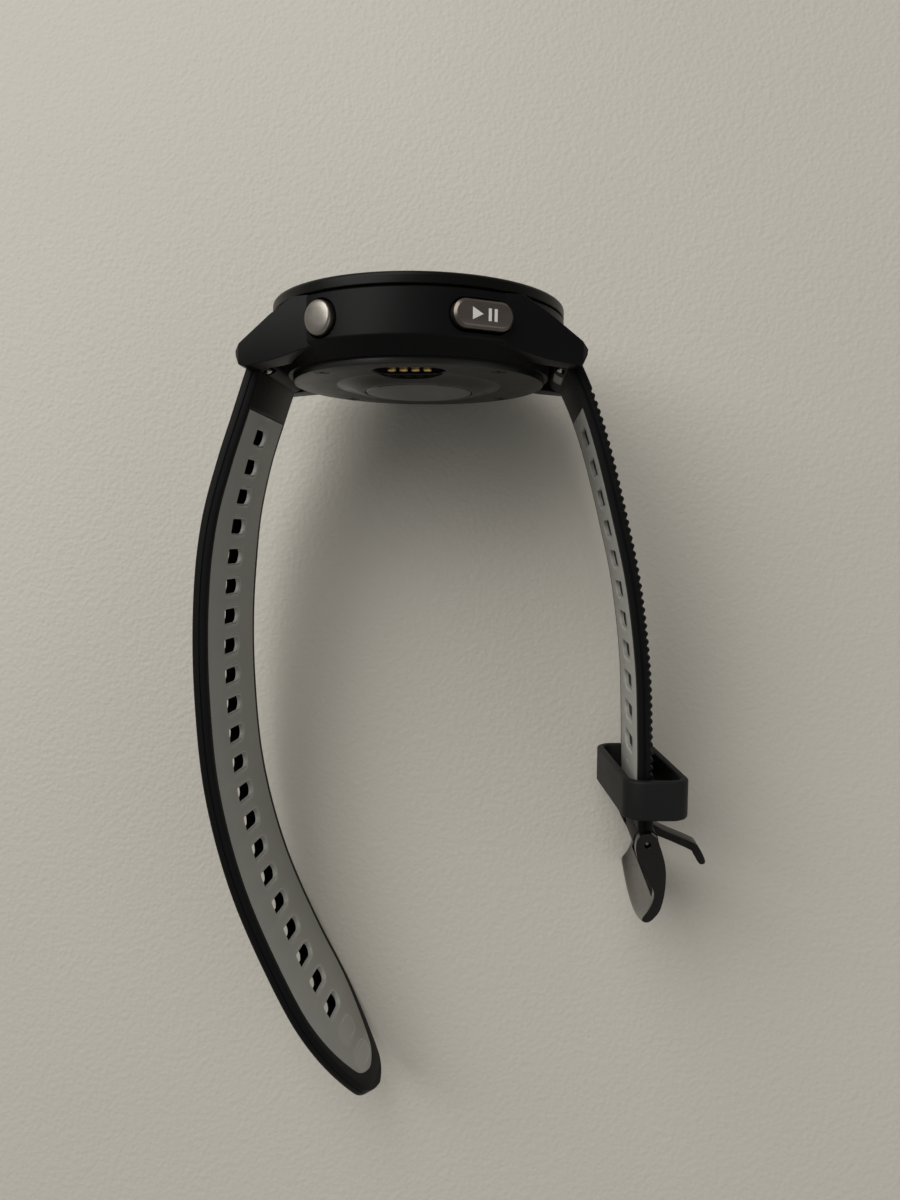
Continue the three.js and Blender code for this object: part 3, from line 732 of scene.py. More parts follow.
def flat_strap(name, rows, half_width, section):
    """A flat strap from rows of one cross-section."""
    bm = stack([[(along, across, depth) for across, depth in section(half_width(along))] for along in rows])
    return as_object(name, bm)


def outer_section(thickness, columns):
    """The outer layer: soft inner edges and rounder outer edges."""
    def section(half):
        inner = [(-half + 0.3, 0.0), (half - 0.3, 0.0)]
        right = [(half - 0.08, 0.08), (half, 0.3), (half, 0.84), (half - 0.16, 0.94), (half - 0.16, 1.08)]
        right += [(half, 1.2), (half, thickness - 0.75)]
        right += [(half - 0.1, thickness - 0.4), (half - 0.36, thickness - 0.13)]
        top = []
        for i in range(columns + 1):
            across = (half - 0.75) * (1 - 2 * i / columns)
            crown = 0.0 if columns < 2 else 0.03 * (1 - (2 * i / columns - 1) ** 2)
            top.append((across, thickness - 0.03 + crown))
        left = [(-across, depth) for across, depth in reversed(right)]
        return inner + right + top + left
    return section


def lining_section(thickness):
    """The lining: soft inner edges, square where it meets the outer layer."""
    def section(half):
        return [
            (-half + 0.12, 0.0), (half - 0.12, 0.0), (half - 0.02, 0.05), (half, 0.16),
            (half, thickness), (-half, thickness), (-half, 0.16), (-half + 0.02, 0.05),
        ]
    return section


def room_section(low, high):
    def section(half):
        return [(-half, low), (half, low), (half, high), (-half, high)]
    return section


def hole_outline(width, length_along, grow):
    """A D shape: square towards 3 o'clock, round towards 9 o'clock."""
    half = length_along / 2
    corner = HOLE_CORNER
    points = []
    for sign, start in ((1, 0.0), (-1, math.pi / 2)):
        for i in range(5):
            turn = start + math.pi / 2 * i / 4
            x = sign * (half - corner) + (corner + grow) * math.cos(turn)
            y = width / 2 - corner + (corner + grow) * math.sin(turn)
            points.append((x, y))
    for i in range(17):
        turn = math.pi + math.pi * i / 16
        x = (half + grow) * math.cos(turn)
        y = half - width / 2 + (half + grow) * math.sin(turn)
        points.append((x, y))
    return points


def hole_cutter(width, length_along, top, bottom, flare):
    """A hole's cutter, flared where it meets each face."""
    levels = [(top - 1.0, flare), (top, flare), (top + flare, 0.0)]
    levels += [(bottom - flare, 0.0), (bottom, flare), (bottom + 1.0, flare)]
    rings = [[(x, y, z) for x, y in hole_outline(width, length_along, grow)] for z, grow in levels]
    return as_object("hole_cutter", stack(rings))


def rows_between(start, end, step, shift):
    """Row places from start to end, kept clear of the hole edges."""
    first = math.ceil((start - shift) / step + 0.2)
    rows = [start]
    while shift + first * step < end - 0.2 * step:
        rows.append(shift + first * step)
        first += 1
    return rows + [end]


# ---- materials of the watch ----
def from_hole_middle(along, strap):
    """The distance along a strap from the nearest hole's middle."""
    half_pitch = strap.pitch / 2
    return (along - strap.first_hole + half_pitch) % strap.pitch - half_pitch


def from_middle(x, z):
    """The distance from the watch's own axis."""
    return (x * x + z * z).math("SQRT")


def strap_finish(base, grey, strap):
    """Black silicone with a dull bloom and lint; the black layer's hole walls carry the lining's grey as a
    painted highlight.
    """
    finish = Finish("black_silicone", base, 0.46, Specular_IOR_Level=POLYMER_GLOSS)
    place = finish.own_place()
    fine = finish.noise(place, 6.0, 2.0)
    cloud = finish.noise(place, 0.12, 4.0)
    lint = finish.noise(finish.stretch(place, (0.9, 2.4, 1.0)), 1.4, 6.0, 0.75).fade(0.66, 0.8)
    along, across, depth = split(place)
    from_hole = from_hole_middle(along, strap)
    # painted highlight: the black layer's hole walls are painted in the lining's grey so that they look lit
    wall = abs(from_hole).below(HOLE[1] / 2 + 0.05) * abs(across).below(HOLE[0] / 2 + 0.05)
    wall = wall * depth.below(strap.thickness - 0.3) * depth.above(0.85)
    tone = finish.mix(lint * 0.5, base, darker(base, 4.0))
    finish.shade("Base Color", finish.mix(wall, tone, grey))
    finish.shade("Roughness", 0.37 + cloud * 0.16 + lint * 0.1 + fine * 0.05)
    finish.shade("Normal", finish.bump(fine, 0.3, 0.012 * MM))
    return finish


def lining_finish(base, strap):
    """Grey silicone, rubbed lighter round the holes and dusty between them, with a painted highlight on one
    side of each hole's raised lip.
    """
    finish = Finish("grey_silicone_lining", base, 0.6)
    place = finish.own_place()
    along, across, _ = split(place)
    fine = finish.noise(place, 5.0, 2.0)
    cloud = finish.noise(place, 0.1, 4.0)
    lint = finish.noise(finish.stretch(place, (1.6, 0.8, 1.0)), 1.1, 6.0, 0.7).fade(0.6, 0.8)
    from_hole = from_hole_middle(along, strap)
    beside = (abs(across) - (HOLE[0] - HOLE[1]) / 2).larger(0.0)
    reach = (from_hole * from_hole + beside * beside).math("SQRT")
    rubbed = 1.0 - reach.fade(1.5, 2.4)
    # the raised lip on one side of each hole, used for its bump and as a painted highlight in the colour
    lip_and_highlight = reach.fade(1.3, 1.42) * (1.0 - reach.fade(1.62, 1.78)) * (1.0 - across.fade(-0.8, 0.8))
    tone = finish.mix(cloud, darker(base, 0.88), darker(base, 1.1))
    # lighter where rubbed and where lint lies, plus the painted highlight on the lip
    tone = finish.mix((rubbed * 0.2 + lint * 0.2 + lip_and_highlight * 0.5).smaller(1.0), tone, darker(base, 1.6))
    finish.shade("Base Color", tone)
    finish.shade("Roughness", 0.55 + cloud * 0.12 + lint * 0.1 - rubbed * 0.05)
    raised = finish.bump(lip_and_highlight, 0.8, 0.2 * MM)
    finish.shade("Normal", finish.bump(fine, 0.3, 0.015 * MM, raised))
    return finish


def ring_print(x, z, reach, inner, outer):
    """Short printed ticks on the half of a ring that faces 9 o'clock."""
    angle = z.math("ARCTAN2", x) * (180 / math.pi)
    return reach.above(inner) * reach.below(outer) * z.below(0.0) * (angle % 3.0).below(0.9)


def cover_finish(base):
    """Dark grey back cover with faint printed ticks."""
    finish = Finish("satin_back_cover", base, 0.36, Specular_IOR_Level=0.3)
    place = finish.place()
    fine = finish.noise(place, 12.0, 2.0)
    cloud = finish.noise(place, 0.3, 4.0)
    dust = finish.noise(place, 1.5, 6.0, 0.7).fade(0.62, 0.8)
    x, _, z = split(place)
    reach = from_middle(x, z)
    dome = 1.0 - reach.fade(12.9, 13.3)
    ticks = ring_print(x, z, reach, 14.9, 15.7)
    tone = finish.mix(dust * 0.35, base, darker(base, 2.2))
    tone = finish.mix(ticks * 0.35, tone, (0.12, 0.12, 0.125))
    finish.shade("Base Color", finish.mix(dome, tone, (0.005, 0.005, 0.0055)))
    finish.shade("Roughness", 0.3 + cloud * 0.12 + dust * 0.1 - dome * 0.2)
    finish.shade("Normal", finish.bump(fine, 0.3, 0.008 * MM))
    return finish


def window_finish():
    """Dark glossy sensor window with paler lamps and sensors behind it."""
    finish = Finish("sensor_glass", (0.02, 0.02, 0.022), 0.12, 0.0, Coat_Weight=0.6)
    place = finish.place()
    x, _, z = split(place)
    reach = from_middle(x, z)
    edge = reach.above(7.55)
    quarter = (abs(x) - 3.3) * (abs(x) - 3.3) + z * z
    lamps = quarter.below(1.3) + ((abs(z) - 3.6) * (abs(z) - 3.6) + x * x).below(1.5) + reach.below(1.5)
    smear = finish.noise(place, 0.35, 5.0, 0.6)
    tone = finish.mix(lamps.smaller(1.0), (0.026, 0.027, 0.03), (0.06, 0.063, 0.06))
    finish.shade("Base Color", finish.mix(edge, tone, (0.004, 0.004, 0.005)))
    finish.shade("Roughness", 0.07 + smear * 0.16)
    finish.shade("Normal", finish.bump(smear, 0.1, 0.02 * MM))
    return finish


def lens_finish():
    """Dark display glass, barely smeared."""
    finish = Finish("display_glass", (0.006, 0.0065, 0.008), 0.05, 0.0, Coat_Weight=1.0)
    place = finish.place()
    smear = finish.noise(place, 0.18, 5.0, 0.6)
    x, _, z = split(place)
    reach = from_middle(x, z)
    mask = reach.above(17.6)
    finish.shade("Base Color", finish.mix(mask, (0.008, 0.009, 0.011), (0.003, 0.003, 0.003)))
    finish.shade("Roughness", 0.03 + smear.fade(0.45, 0.8) * 0.12)
    finish.shade("Normal", finish.bump(smear, 0.05, 0.01 * MM))
    return finish


# ---- pieces ----
def arc(centre, radius, first, last, steps):
    """Profile points round part of a circle, angles in degrees."""
    turns = [math.radians(first + (last - first) * i / steps) for i in range(steps + 1)]
    return [(centre[0] + radius * math.cos(t), centre[1] + radius * math.sin(t)) for t in turns]


# Where the lugs' outer faces meet the case wall, from 6 and 12 o'clock.
LUG_MEET = math.radians(52)


def lug_body(case, side_x, side_z):
    """One lug: its side outline cut by its outline from above."""
    tip = BAR_REACH + 2.6
    top = case.bezel_height + 0.2
    side = [
        (tip - 14.0, top), (tip - 9.5, top), (tip - 5.8, top + 2.25),
        (tip - 0.9, BAR_DEPTH - 1.0), (tip, BAR_DEPTH), (tip - 0.1, BAR_DEPTH + 0.8),
        (tip - 0.7, BAR_DEPTH + 2.1), (tip - 1.8, BAR_DEPTH + 2.5), (tip - 6.5, BAR_DEPTH + 1.8),
        (tip - 10.5, BAR_DEPTH + 0.8), (tip - 14.0, BAR_DEPTH + 0.2),
    ]
    meet_z = case.radius * math.sin(LUG_MEET)
    meet_x = case.radius * math.cos(LUG_MEET)
    plan = [
        (12.0, case.lug_inside), (tip + 0.1, case.lug_inside), (tip + 0.1, case.lug_outside - 1.2),
        (tip - 0.8, case.lug_outside), (meet_x, meet_z), (12.0, meet_z),
    ]
    body = as_object("lug", prism(side, case.lug_inside - 1, meet_z + 1))
    above = as_object("lug_plan", slab(plan, 0.0, 15.0))
    combine(body, [above], "INTERSECT")
    soften(body, 0.5, 5, 12.0)
    settle(body)
    room = as_object("lug_room", lathe([(0, 0), (19.9, 0), (19.9, 15), (0, 15)], 96))
    skirt = as_object("skirt_room", lathe([(0, 0), (20.75, 0), (20.75, 2.75), (0, 2.75)], 96))
    combine(body, [room, skirt])
    body.data.transform(Matrix.Diagonal((side_x, 1, side_z, 1)))
    bm = bmesh.new()
    bm.from_mesh(body.data)
    bmesh.ops.recalc_face_normals(bm, faces=bm.faces)
    bm.to_mesh(body.data)
    bm.free()
    return body


CREASE = 8.6
# Each button's angle round the case from 3 o'clock, in degrees.
BUTTONS = {"back": 31.0, "start": -28.0, "light": 210.0, "up": 180.0, "down": 150.0}
COLLARED = ("light", "up", "down")
COLLAR_WALL = 0.9
LONG_BUTTON = (9.2, 4.0)
BUTTON_RADIUS = 2.45
BUTTON_ROUND = 64
POCKET_GAP = 0.15
POCKET_FLOOR = 21.4


def button_room(name, angle, case):
    """The pocket of a button, with a chamfer at the case wall."""
    wall = case.radius
    levels = [(POCKET_FLOOR, 0.0), (wall - 0.55, 0.0), (wall - 0.15, 0.25), (wall + 2.0, 0.25)]
    if name == "start":
        rings = []
        for z, grow in levels:
            wide = LONG_BUTTON[0] + 2 * (POCKET_GAP + grow)
            high = LONG_BUTTON[1] + 2 * (POCKET_GAP + grow)
            rings.append([(x, y, z) for x, y in rounded_outline(wide, high, high / 2 - 0.02, 12)])
        bm = stack(rings)
    else:
        reach = BUTTON_RADIUS + POCKET_GAP
        bm = round_stack([(z, reach + grow) for z, grow in levels], BUTTON_ROUND)
    return as_object("button_room", turned(bm, angle, case.button_height))


def button_collar(name, case):
    """The raised ring round a 9 o'clock button, a hair prouder than its cap."""
    reach = BUTTON_RADIUS + POCKET_GAP + COLLAR_WALL
    top = case.radius + 1.1
    levels = [(case.radius - 1.0, reach), (top - 0.3, reach), (top - 0.09, reach - 0.09), (top, reach - 0.3)]
    ring = round_stack(levels, BUTTON_ROUND)
    return as_object("button_collar", turned(ring, BUTTONS[name], case.button_height))


def build_case(case, colours):
    """The mid case: its wall, four lugs, raised collars and button pockets."""
    top = case.bezel_height + 0.2
    radius = case.radius
    wall = [(20.75, top), (radius - 0.25, top), (radius, top + 0.25)]
    wall += arc((radius - 0.7, CREASE - 0.3), 0.7, 0, 42, 8)
    wall += [(20.7, case.back), (17.3, case.back), (17.3, case.back - 1.5), (19.4, case.back - 1.7)]
    wall += [(19.4, 2.75), (20.75, 2.75)]
    body = as_object("mid_case_shell", lathe(wall, ROUND, True))
    lugs = [lug_body(case, x, z) for x in (1, -1) for z in (1, -1)]
    collars = [button_collar(name, case) for name in COLLARED]
    combine(body, lugs + collars, "UNION")
    notch = BAR_REACH - ROOT_RADIUS - 0.3
    cutters = []
    for side in (1, -1):
        low, high = sorted((side * notch, side * 28.6))
        room = [(low, 5.6), (high, 5.6), (high, 15.0), (low, 15.0)]
        cutters.append(as_object("strap_room", prism(room, -case.lug_inside, case.lug_inside)))
        cutters.append(as_object("bar_hole", rod(0.53, side * BAR_REACH, BAR_DEPTH, -13.1, 13.1, 24)))
    cutters += [button_room(name, angle, case) for name, angle in BUTTONS.items()]
    combine(body, cutters)
    finish = moulded("satin_case_polymer", colours.case, 0.4, 14.0, 0.01, 0.25)
    finish_piece(body, "case", ["mid_case"], finish, 28.0)


def build_bezel(case, colours):
    """The bezel ring with its sixty fine ticks."""
    radius = case.radius
    profile = [(19.35, 0.42), (19.45, 0.3), (19.7, 0.27), (radius - 0.9, 0.01)]
    profile += arc((radius - 0.62, 0.62), 0.62, 262, 360, 8)
    profile += [(radius, 1.63), (radius - 0.12, case.bezel_height), (20.6, case.bezel_height)]
    profile += [(20.6, 2.65), (17.95, 2.65), (17.95, 1.5), (19.35, 1.5)]
    body = as_object("bezel_ring", lathe(profile, ROUND * 2, True))
    outline = [(-0.75, -0.09), (0.75, -0.09), (0.75, 0.09), (-0.75, 0.09)]
    tick = as_object("bezel_ticks", slab(outline, -0.4, 0.2))
    repeat_round().run(tick, {"Count": 60, "Radius": 21.2, "Start": 0.0})
    combine(body, [tick])
    finish = moulded("bezel_polymer", colours.bezel, 0.34, 16.0, 0.008, 0.3)
    finish_piece(body, "case", ["bezel"], finish, 32.0)


def build_lens():
    profile = [(0, 0.35), (16.0, 0.35), (18.95, 0.35), (19.12, 0.39), (19.2, 0.5), (19.2, 1.4), (0, 1.4)]
    body = as_object("display_lens_glass", lathe(profile))
    finish_piece(body, "case", ["display_lens"], lens_finish())


COVER_FACE = 11.9
SCREW_CIRCLE = 18.5
# The charging slot's length and height.
SLOT = (10.4, 5.6)
SLOT_OFFSET = 13.8
SLOT_DEPTH = 0.9
CONTACT_OFFSET = 13.1
CONTACT_PITCH = 1.75


def four_round(obj):
    """Four copies on the screw circle."""
    return repeat_round().run(obj, {"Count": 4, "Radius": SCREW_CIRCLE, "Start": math.radians(45)})


def four_in_slot(obj):
    """Four copies in the charging slot."""
    repeat_line().run(obj, {"Count": 4, "Pitch": CONTACT_PITCH})
    obj.data.transform(Matrix.Translation((0, 0, CONTACT_OFFSET)))
    return obj


def slot_shape(grow, levels):
    """The charging slot's round-ended outline, grown a little at each level."""
    rings = []
    for y, more in levels:
        wide, high = SLOT[0] + 2 * (grow + more), SLOT[1] + 2 * (grow + more)
        outline = rounded_outline(wide, high, high / 2 - 0.1, 12)
        rings.append([(x, y, z + SLOT_OFFSET) for x, z in outline])
    return stack(rings)


def build_back_cover(case, colours):
    """The back cover with its dome, its slot and its four screws."""
    top = 11.05
    face = COVER_FACE
    rim = case.cover_radius
    dome = smooth_line([
        (case.dome_radius + 0.5, face), (case.dome_radius, face + 0.02), (12.4, face + 0.1),
        (11.4, face + 0.35), (10.0, face + 0.85), (9.3, face + 1.02), (8.85, face + 1.05),
    ], 5)
    profile = [(7.55, top), (rim, top), (rim, face - 0.2), (rim - 0.06, face - 0.06), (rim - 0.2, face)]
    profile += [(17.0, face), (15.0, face)]
    profile += [tuple(point) for point in dome]
    profile += [(8.6, face + 0.98), (8.6, 12.2), (7.55, 12.2)]
    body = as_object("back_cover_plate", lathe(profile, ROUND, True))
    levels = [(9.0, 0), (face - 0.18, 0), (face, 0.16), (face + 2, 0.16)]
    slot = as_object("slot_room", slot_shape(0.12, levels))
    head = [(0, face - 0.45), (1.15, face - 0.45), (1.15, face + 1), (0, face + 1)]
    combine(body, [slot, four_round(as_object("screw_rooms", lathe(head, 32)))])
    finish_piece(body, "case", ["back_cover"], cover_finish(colours.cover), 30.0)
    screw = as_object("back_screws", lathe([
        (0, face - 0.2), (0.35, face - 0.2), (0.4, face - 0.03), (1.05, face - 0.03), (1.1, face - 0.08),
        (1.1, face - 0.4), (0.5, face - 0.4), (0.5, 9.7), (0, 9.7),
    ], 32))
    steel = brushed("black_screw_steel", (0.02, 0.02, 0.021), 0.42, (3, 3, 3), 0.2)
    four_round(screw)
    finish_piece(screw, "case", [f"back_screw_{i}" for i in (1, 2, 3, 4)], steel)


def build_window(case):
    radius = case.window_radius
    profile = [(0, 12.1), (radius, 12.1), (radius, 12.86), (radius - 0.1, 12.95), (radius - 0.5, 12.98)]
    profile += [(radius - 1.6, 13.05), (5.0, 13.1), (3.0, 13.13), (0, 13.15)]
    body = as_object("sensor_window_glass", lathe(profile))
    finish_piece(body, "case", ["sensor_window"], window_finish())


def build_contacts(colours):
    """The charging block in its slot, with four gilt pins."""
    floor = COVER_FACE - SLOT_DEPTH
    levels = [(10.3, 0), (floor - 0.05, 0), (floor, -0.05)]
    block = as_object("charging_block", slot_shape(0.0, levels))
    holes = as_object("pin_rooms", lathe([(0, 9), (0.72, 9), (0.72, 13), (0, 13)], 32))
    combine(block, [four_in_slot(holes)])
    black = moulded("contact_block_plastic", (0.007, 0.007, 0.007), 0.45, 10.0)
    finish_piece(block, "case", ["contact_block"], black)
    pins = as_object("charging_pins", lathe([
        (0, 9.95), (0.62, 9.95), (0.62, 11.64), (0.56, 11.72), (0.4, 11.77), (0.2, 11.79), (0, 11.79),
    ], 32))
    four_in_slot(pins)
    gold = brushed("gilt_contacts", colours.gold, 0.36, (4, 4, 4), 0.2)
    finish_piece(pins, "case", [f"contact_{i}" for i in (1, 2, 3, 4)], gold)


def build_round_button(name, case, finish):
    cap = [(0, 24.1), (0.7, 24.09), (1.4, 24.06), (2.0, 24.0), (2.22, 23.94), (2.38, 23.8), (2.44, 23.6)]
    cap += [(2.45, 23.1), (2.45, 22.35), (2.4, 22.3), (0.9, 22.3), (0.9, 18.6), (0, 18.6)]
    bm = lathe(cap, 64)
    bmesh.ops.rotate(bm, verts=bm.verts, matrix=Matrix.Rotation(math.pi / 2, 3, "X"))
    obj = as_object(f"{name}_button_cap", turned(bm, BUTTONS[name], case.button_height))
    finish_piece(obj, f"{name}_button", [f"button_{name}"], finish)


def build_long_button(case, colours):
    """The long button with its stem and its play and pause mark."""
    wide, high = LONG_BUTTON
    levels = [(22.3, -0.05), (22.35, 0), (23.6, 0), (23.72, -0.03)]
    levels += [(24.0, -0.33), (24.07, -0.42), (24.1, -0.55)]
    rings = []
    for z, grow in levels:
        outline = rounded_outline(wide + 2 * grow, high + 2 * grow, (high + 2 * grow) / 2 - 0.03, 16)
        rings.append([(x, y, z) for x, y in outline])
    cap = as_object("start_button_cap", turned(stack(rings), BUTTONS["start"], case.button_height))
    stem = as_object("start_stem", turned(rod(0.9, 0, 0, 18.6, 22.6), BUTTONS["start"], case.button_height))
    combine(cap, [stem], "UNION")
    metal = brushed("dark_brushed_button", colours.start, 0.3, (0.6, 9, 0.6), 0.15)
    finish_piece(cap, "start_button", ["button_start"], metal, 25.0)
    low, high_z = 24.085, 24.14
    shapes = [
        [(1.9, -0.85), (0.3, 0.0), (1.9, 0.85)],
        [(-0.5, -0.85), (-0.95, -0.85), (-0.95, 0.85), (-0.5, 0.85)],
        [(-1.4, -0.85), (-1.85, -0.85), (-1.85, 0.85), (-1.4, 0.85)],
    ]
    glyph = bmesh.new()
    for shape in shapes:
        rings = [[glyph.verts.new((x, y, z)) for x, y in shape] for z in (low, high_z)]
        sheet_of(glyph, rings)
        glyph.faces.new(rings[0])
        glyph.faces.new(rings[1])
    bmesh.ops.recalc_face_normals(glyph, faces=glyph.faces)
    mark = as_object("start_button_mark", turned(glyph, BUTTONS["start"], case.button_height))
    paint = moulded("white_print", (0.78, 0.77, 0.74), 0.5, 20.0, 0.004, 0.1)
    mark.data.transform(WATCH)
    mark.data.materials.append(paint.material)
    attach(mark, "start_button")


def build_strap(side, strap, colours, finishes):
    """One strap half: its black outer layer and grey lining, bent along its path."""
    is_long = side == "long"
    points, run, sign = (LONG_PATH, LONG_LENGTH, 1) if is_long else (SHORT_PATH, SHORT_LENGTH, -1)
    half = strap.width / 2
    lining_half = half - strap.rim
    thickness, lining = strap.thickness, strap.lining
    if is_long:
        lining_end = run - 3.2
        outer_half = nose(half, 3.5, run - 21, run, 2.6)
        inner_half = nose(lining_half, 2.9, lining_end - 18, lining_end, 2.2)
        cut = hole_cutter(*HOLE, 0.0, thickness, 0.16)
        count = strap.holes
        step = strap.pitch / 4
    else:
        lining_end = run - 5.5
        outer_half = even(half)
        inner_half = even(lining_half)
        cut = hole_cutter(*POCKET, 0.0, lining + 1.0, 0.18)
        count = strap.pockets
        step = 0.2
    shift = strap.first_hole + strap.pitch / 8
    rows = rows_between(0.0, run, step, shift)
    lining_rows = rows_between(LINING_START, lining_end, strap.pitch / 4, shift)
    if is_long:
        rows = [row for row in rows if row < run - 3.2] + [run - 3.1 + 0.31 * i for i in range(11)]
        lining_rows = [row for row in lining_rows if row < lining_end - 2.6]
        lining_rows += [lining_end - 2.5 + 0.25 * i for i in range(11)]
    path = path_object(points, sign)
    room_rows = [LINING_START - 0.06] + lining_rows[1:-1] + [lining_end + 0.06]
    room = room_section(-0.8, lining + 0.06)
    pocket = flat_strap("lining_room", room_rows, widened(inner_half, 0.05), room)
    nothing = as_object("nothing", bmesh.new())
    maker = strap_maker()
    common = {
        "Path": path, "First": strap.first_hole, "Pitch": strap.pitch, "Count": count, "Side": float(sign),
        "Twist": LONG_TWIST if is_long else 0.0, "Ridge Pitch": 1.2, "Ridge Start": 6.0,
        "Ridge End": run - 9.0, "Ridge Half Width": half + 0.5, "Ridge Level": thickness - 0.5,
    }
    profile = outer_section(thickness, 1 if is_long else 10)
    outer = flat_strap(f"{side}_strap_outer_layer", rows, outer_half, profile)
    maker.run(outer, common | {
        "Cutter": cut if is_long else nothing, "Pocket": pocket, "Material": finishes["strap"].material,
        "Ridge Depth": 0.0 if is_long else strap.ridge_depth,
    })
    layer = flat_strap(f"{side}_strap_lining_layer", lining_rows, inner_half, lining_section(lining))
    maker.run(layer, common | {
        "Cutter": cut, "Pocket": nothing, "Material": finishes["lining"].material, "Ridge Depth": 0.0,
    })
    for tool in (cut, pocket, nothing, path):
        drop(tool)
    join_ends(side, outer, half, sign)
    flex = strap.first_hole + (8.5 if is_long else 4.5) * strap.pitch
    start = from_watch(*path_point(points, sign, flex - 7.0, thickness / 2))
    end = from_watch(*path_point(points, sign, flex + 7.0, thickness / 2))
    for piece, kind, slot in ((outer, "outer", "strap_black"), (layer, "lining", "strap_grey")):
        finish = finishes["strap" if kind == "outer" else "lining"]
        nodes = [f"{side}_strap_{kind}_root", f"{side}_strap_{kind}_end"]
        finish_piece(piece, None, nodes, finish, 30.0)
        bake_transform(piece)


KNOB_LEAN = math.radians(30)
KNOB_PLACE = 8.9


def place_tree(obj):
    """The flat places of a bent strap's corners, to be found by where they lie."""
    tree = KDTree(len(obj.data.vertices))
    for vertex in obj.data.vertices:
        tree.insert(vertex.co, vertex.index)
    tree.balance()
    return tree, [Vector(item.vector) for item in obj.data.attributes["strap_place"].data]


def restore_places(obj, tree, places):
    """Gives each corner the flat place of the nearest one, because a boolean loses them."""
    for vertex, item in zip(obj.data.vertices, obj.data.attributes["strap_place"].data):
        item.vector = places[tree.find(vertex.co)[1]]


def leaning(sign):
    """The matrix of a spring bar, leaning with its release knob."""
    return Matrix.Translation((sign * BAR_REACH, BAR_DEPTH, 0)) @ Matrix.Rotation(sign * KNOB_LEAN, 4, "Z")


def knob_room(name, sign, wide):
    """The room through which a release knob stands out and slides."""
    box = bmesh.new()
    bmesh.ops.create_cube(box, size=1.0)
    place = leaning(sign) @ Matrix.Translation((0, 2.0, 8.2)) @ Matrix.Diagonal((wide, 3.4, 3.6, 1))
    bmesh.ops.transform(box, matrix=place, verts=box.verts)
    return as_object(name, box)


def join_ends(side, outer, half, sign):
    """Joins the barrel for the spring bar, and for the buckle on the short half."""
    x = sign * BAR_REACH
    bodies = [as_object("root_barrel", rod(ROOT_RADIUS, x, BAR_DEPTH, -half, half, 64, 0.3))]
    cutters = [as_object("bar_bore", rod(0.95, x, BAR_DEPTH, -half - 1, half + 1, 32))]
    cutters.append(knob_room("release_window", sign, 1.5))
    if side == "short":
        bx, by = BUCKLE
        bodies.append(as_object("buckle_barrel", rod(1.9, bx, by, -half, half, 64, 0.25)))
        cutters.append(as_object("buckle_bore", rod(0.92, bx, by, -half - 1, half + 1, 32)))
        slot = [(bx - 4, by - 2.3), (bx + 4, by - 2.3), (bx + 4, by + 4), (bx - 4, by + 4)]
        cutters.append(as_object("tongue_slot", prism(slot, -2.15, 2.15)))
    tree, places = place_tree(outer)
    combine(outer, bodies, "UNION")
    combine(outer, cutters)
    restore_places(outer, tree, places)


def build_bars():
    """The quick-release spring bars: tube, fixed tip, and sliding tip with its knob."""
    steel = brushed("bar_steel", (0.55, 0.55, 0.54), 0.28, (0.5, 0.5, 8))
    for side, sign in (("long", 1), ("short", -1)):
        x = sign * BAR_REACH
        tube = as_object(f"{side}_bar_tube", rod(0.8, x, BAR_DEPTH, -10.8, 10.8, 32))
        combine(tube, [
            as_object("upper_bore", rod(0.5, x, BAR_DEPTH, 4.2, 12.0, 24)),
            as_object("lower_bore", rod(0.5, x, BAR_DEPTH, -12.0, -9.2, 24)),
            knob_room("knob_window", sign, 1.3),
        ])
        finish_piece(tube, f"{side}_strap", [f"{side}_strap_bar_tube"], steel)
        tip = as_object(f"{side}_bar_fixed_tip", rod(0.38, x, BAR_DEPTH, -12.7, -9.4, 24, 0.1))
        finish_piece(tip, f"{side}_strap", [f"{side}_strap_bar_fixed_tip"], steel)
        slider = as_object(f"{side}_bar_release_tip", rod(0.38, x, BAR_DEPTH, 6.4, 12.7, 24, 0.1))
        knob = lathe([(0, 2.8), (0.3, 2.78), (0.46, 2.66), (0.5, 2.45), (0.5, 0.1), (0, 0.1)], 24)
        place = leaning(sign) @ Matrix.Translation((0, 0, KNOB_PLACE))
        bmesh.ops.transform(knob, matrix=place, verts=knob.verts)
        combine(slider, [as_object("release_knob", knob)], "UNION")
        finish_piece(slider, f"{side}_release", [f"{side}_strap_bar_release_tip"], steel)


# The keeper's lean on the strap, in degrees.
KEEPER_SKEW = 5.5


def build_keeper(strap):
    """A soft rubber loop round the strap."""
    wall, run = 1.2, 6.1
    inner = (strap.width + 1.5, 7.69)
    middle = rounded_outline(inner[0] + wall, inner[1] + wall, 2.5, 12)
    count = len(middle)
    section = rounded_outline(wall, run, 0.42, 5)
    bm = bmesh.new()
    rings = []
    for i, (x, y) in enumerate(middle):
        before, after = Vector(middle[i - 1]), Vector(middle[(i + 1) % count])
        ahead = (after - before).normalized()
        rings.append([bm.verts.new((x + ahead.y * u, y - ahead.x * u, v)) for u, v in section])
    sheet_of(bm, rings, True, True)
    bmesh.ops.recalc_face_normals(bm, faces=bm.faces)
    place = Matrix.Translation((BUCKLE[0] - 0.35, BUCKLE[1] - 6.7, 0))
    place = place @ Matrix.Rotation(math.radians(90 - KEEPER_SKEW), 4, "Y")
    place = place @ Matrix.Rotation(-math.pi / 2, 4, "X")
    bmesh.ops.transform(bm, matrix=place, verts=bm.verts)
    body = as_object("keeper_loop", bm)
    rubber = moulded("keeper_rubber", (0.011, 0.011, 0.0115), 0.5, 7.0, 0.02, 0.5)
    finish_piece(body, "keeper", ["keeper"], rubber, 50.0)


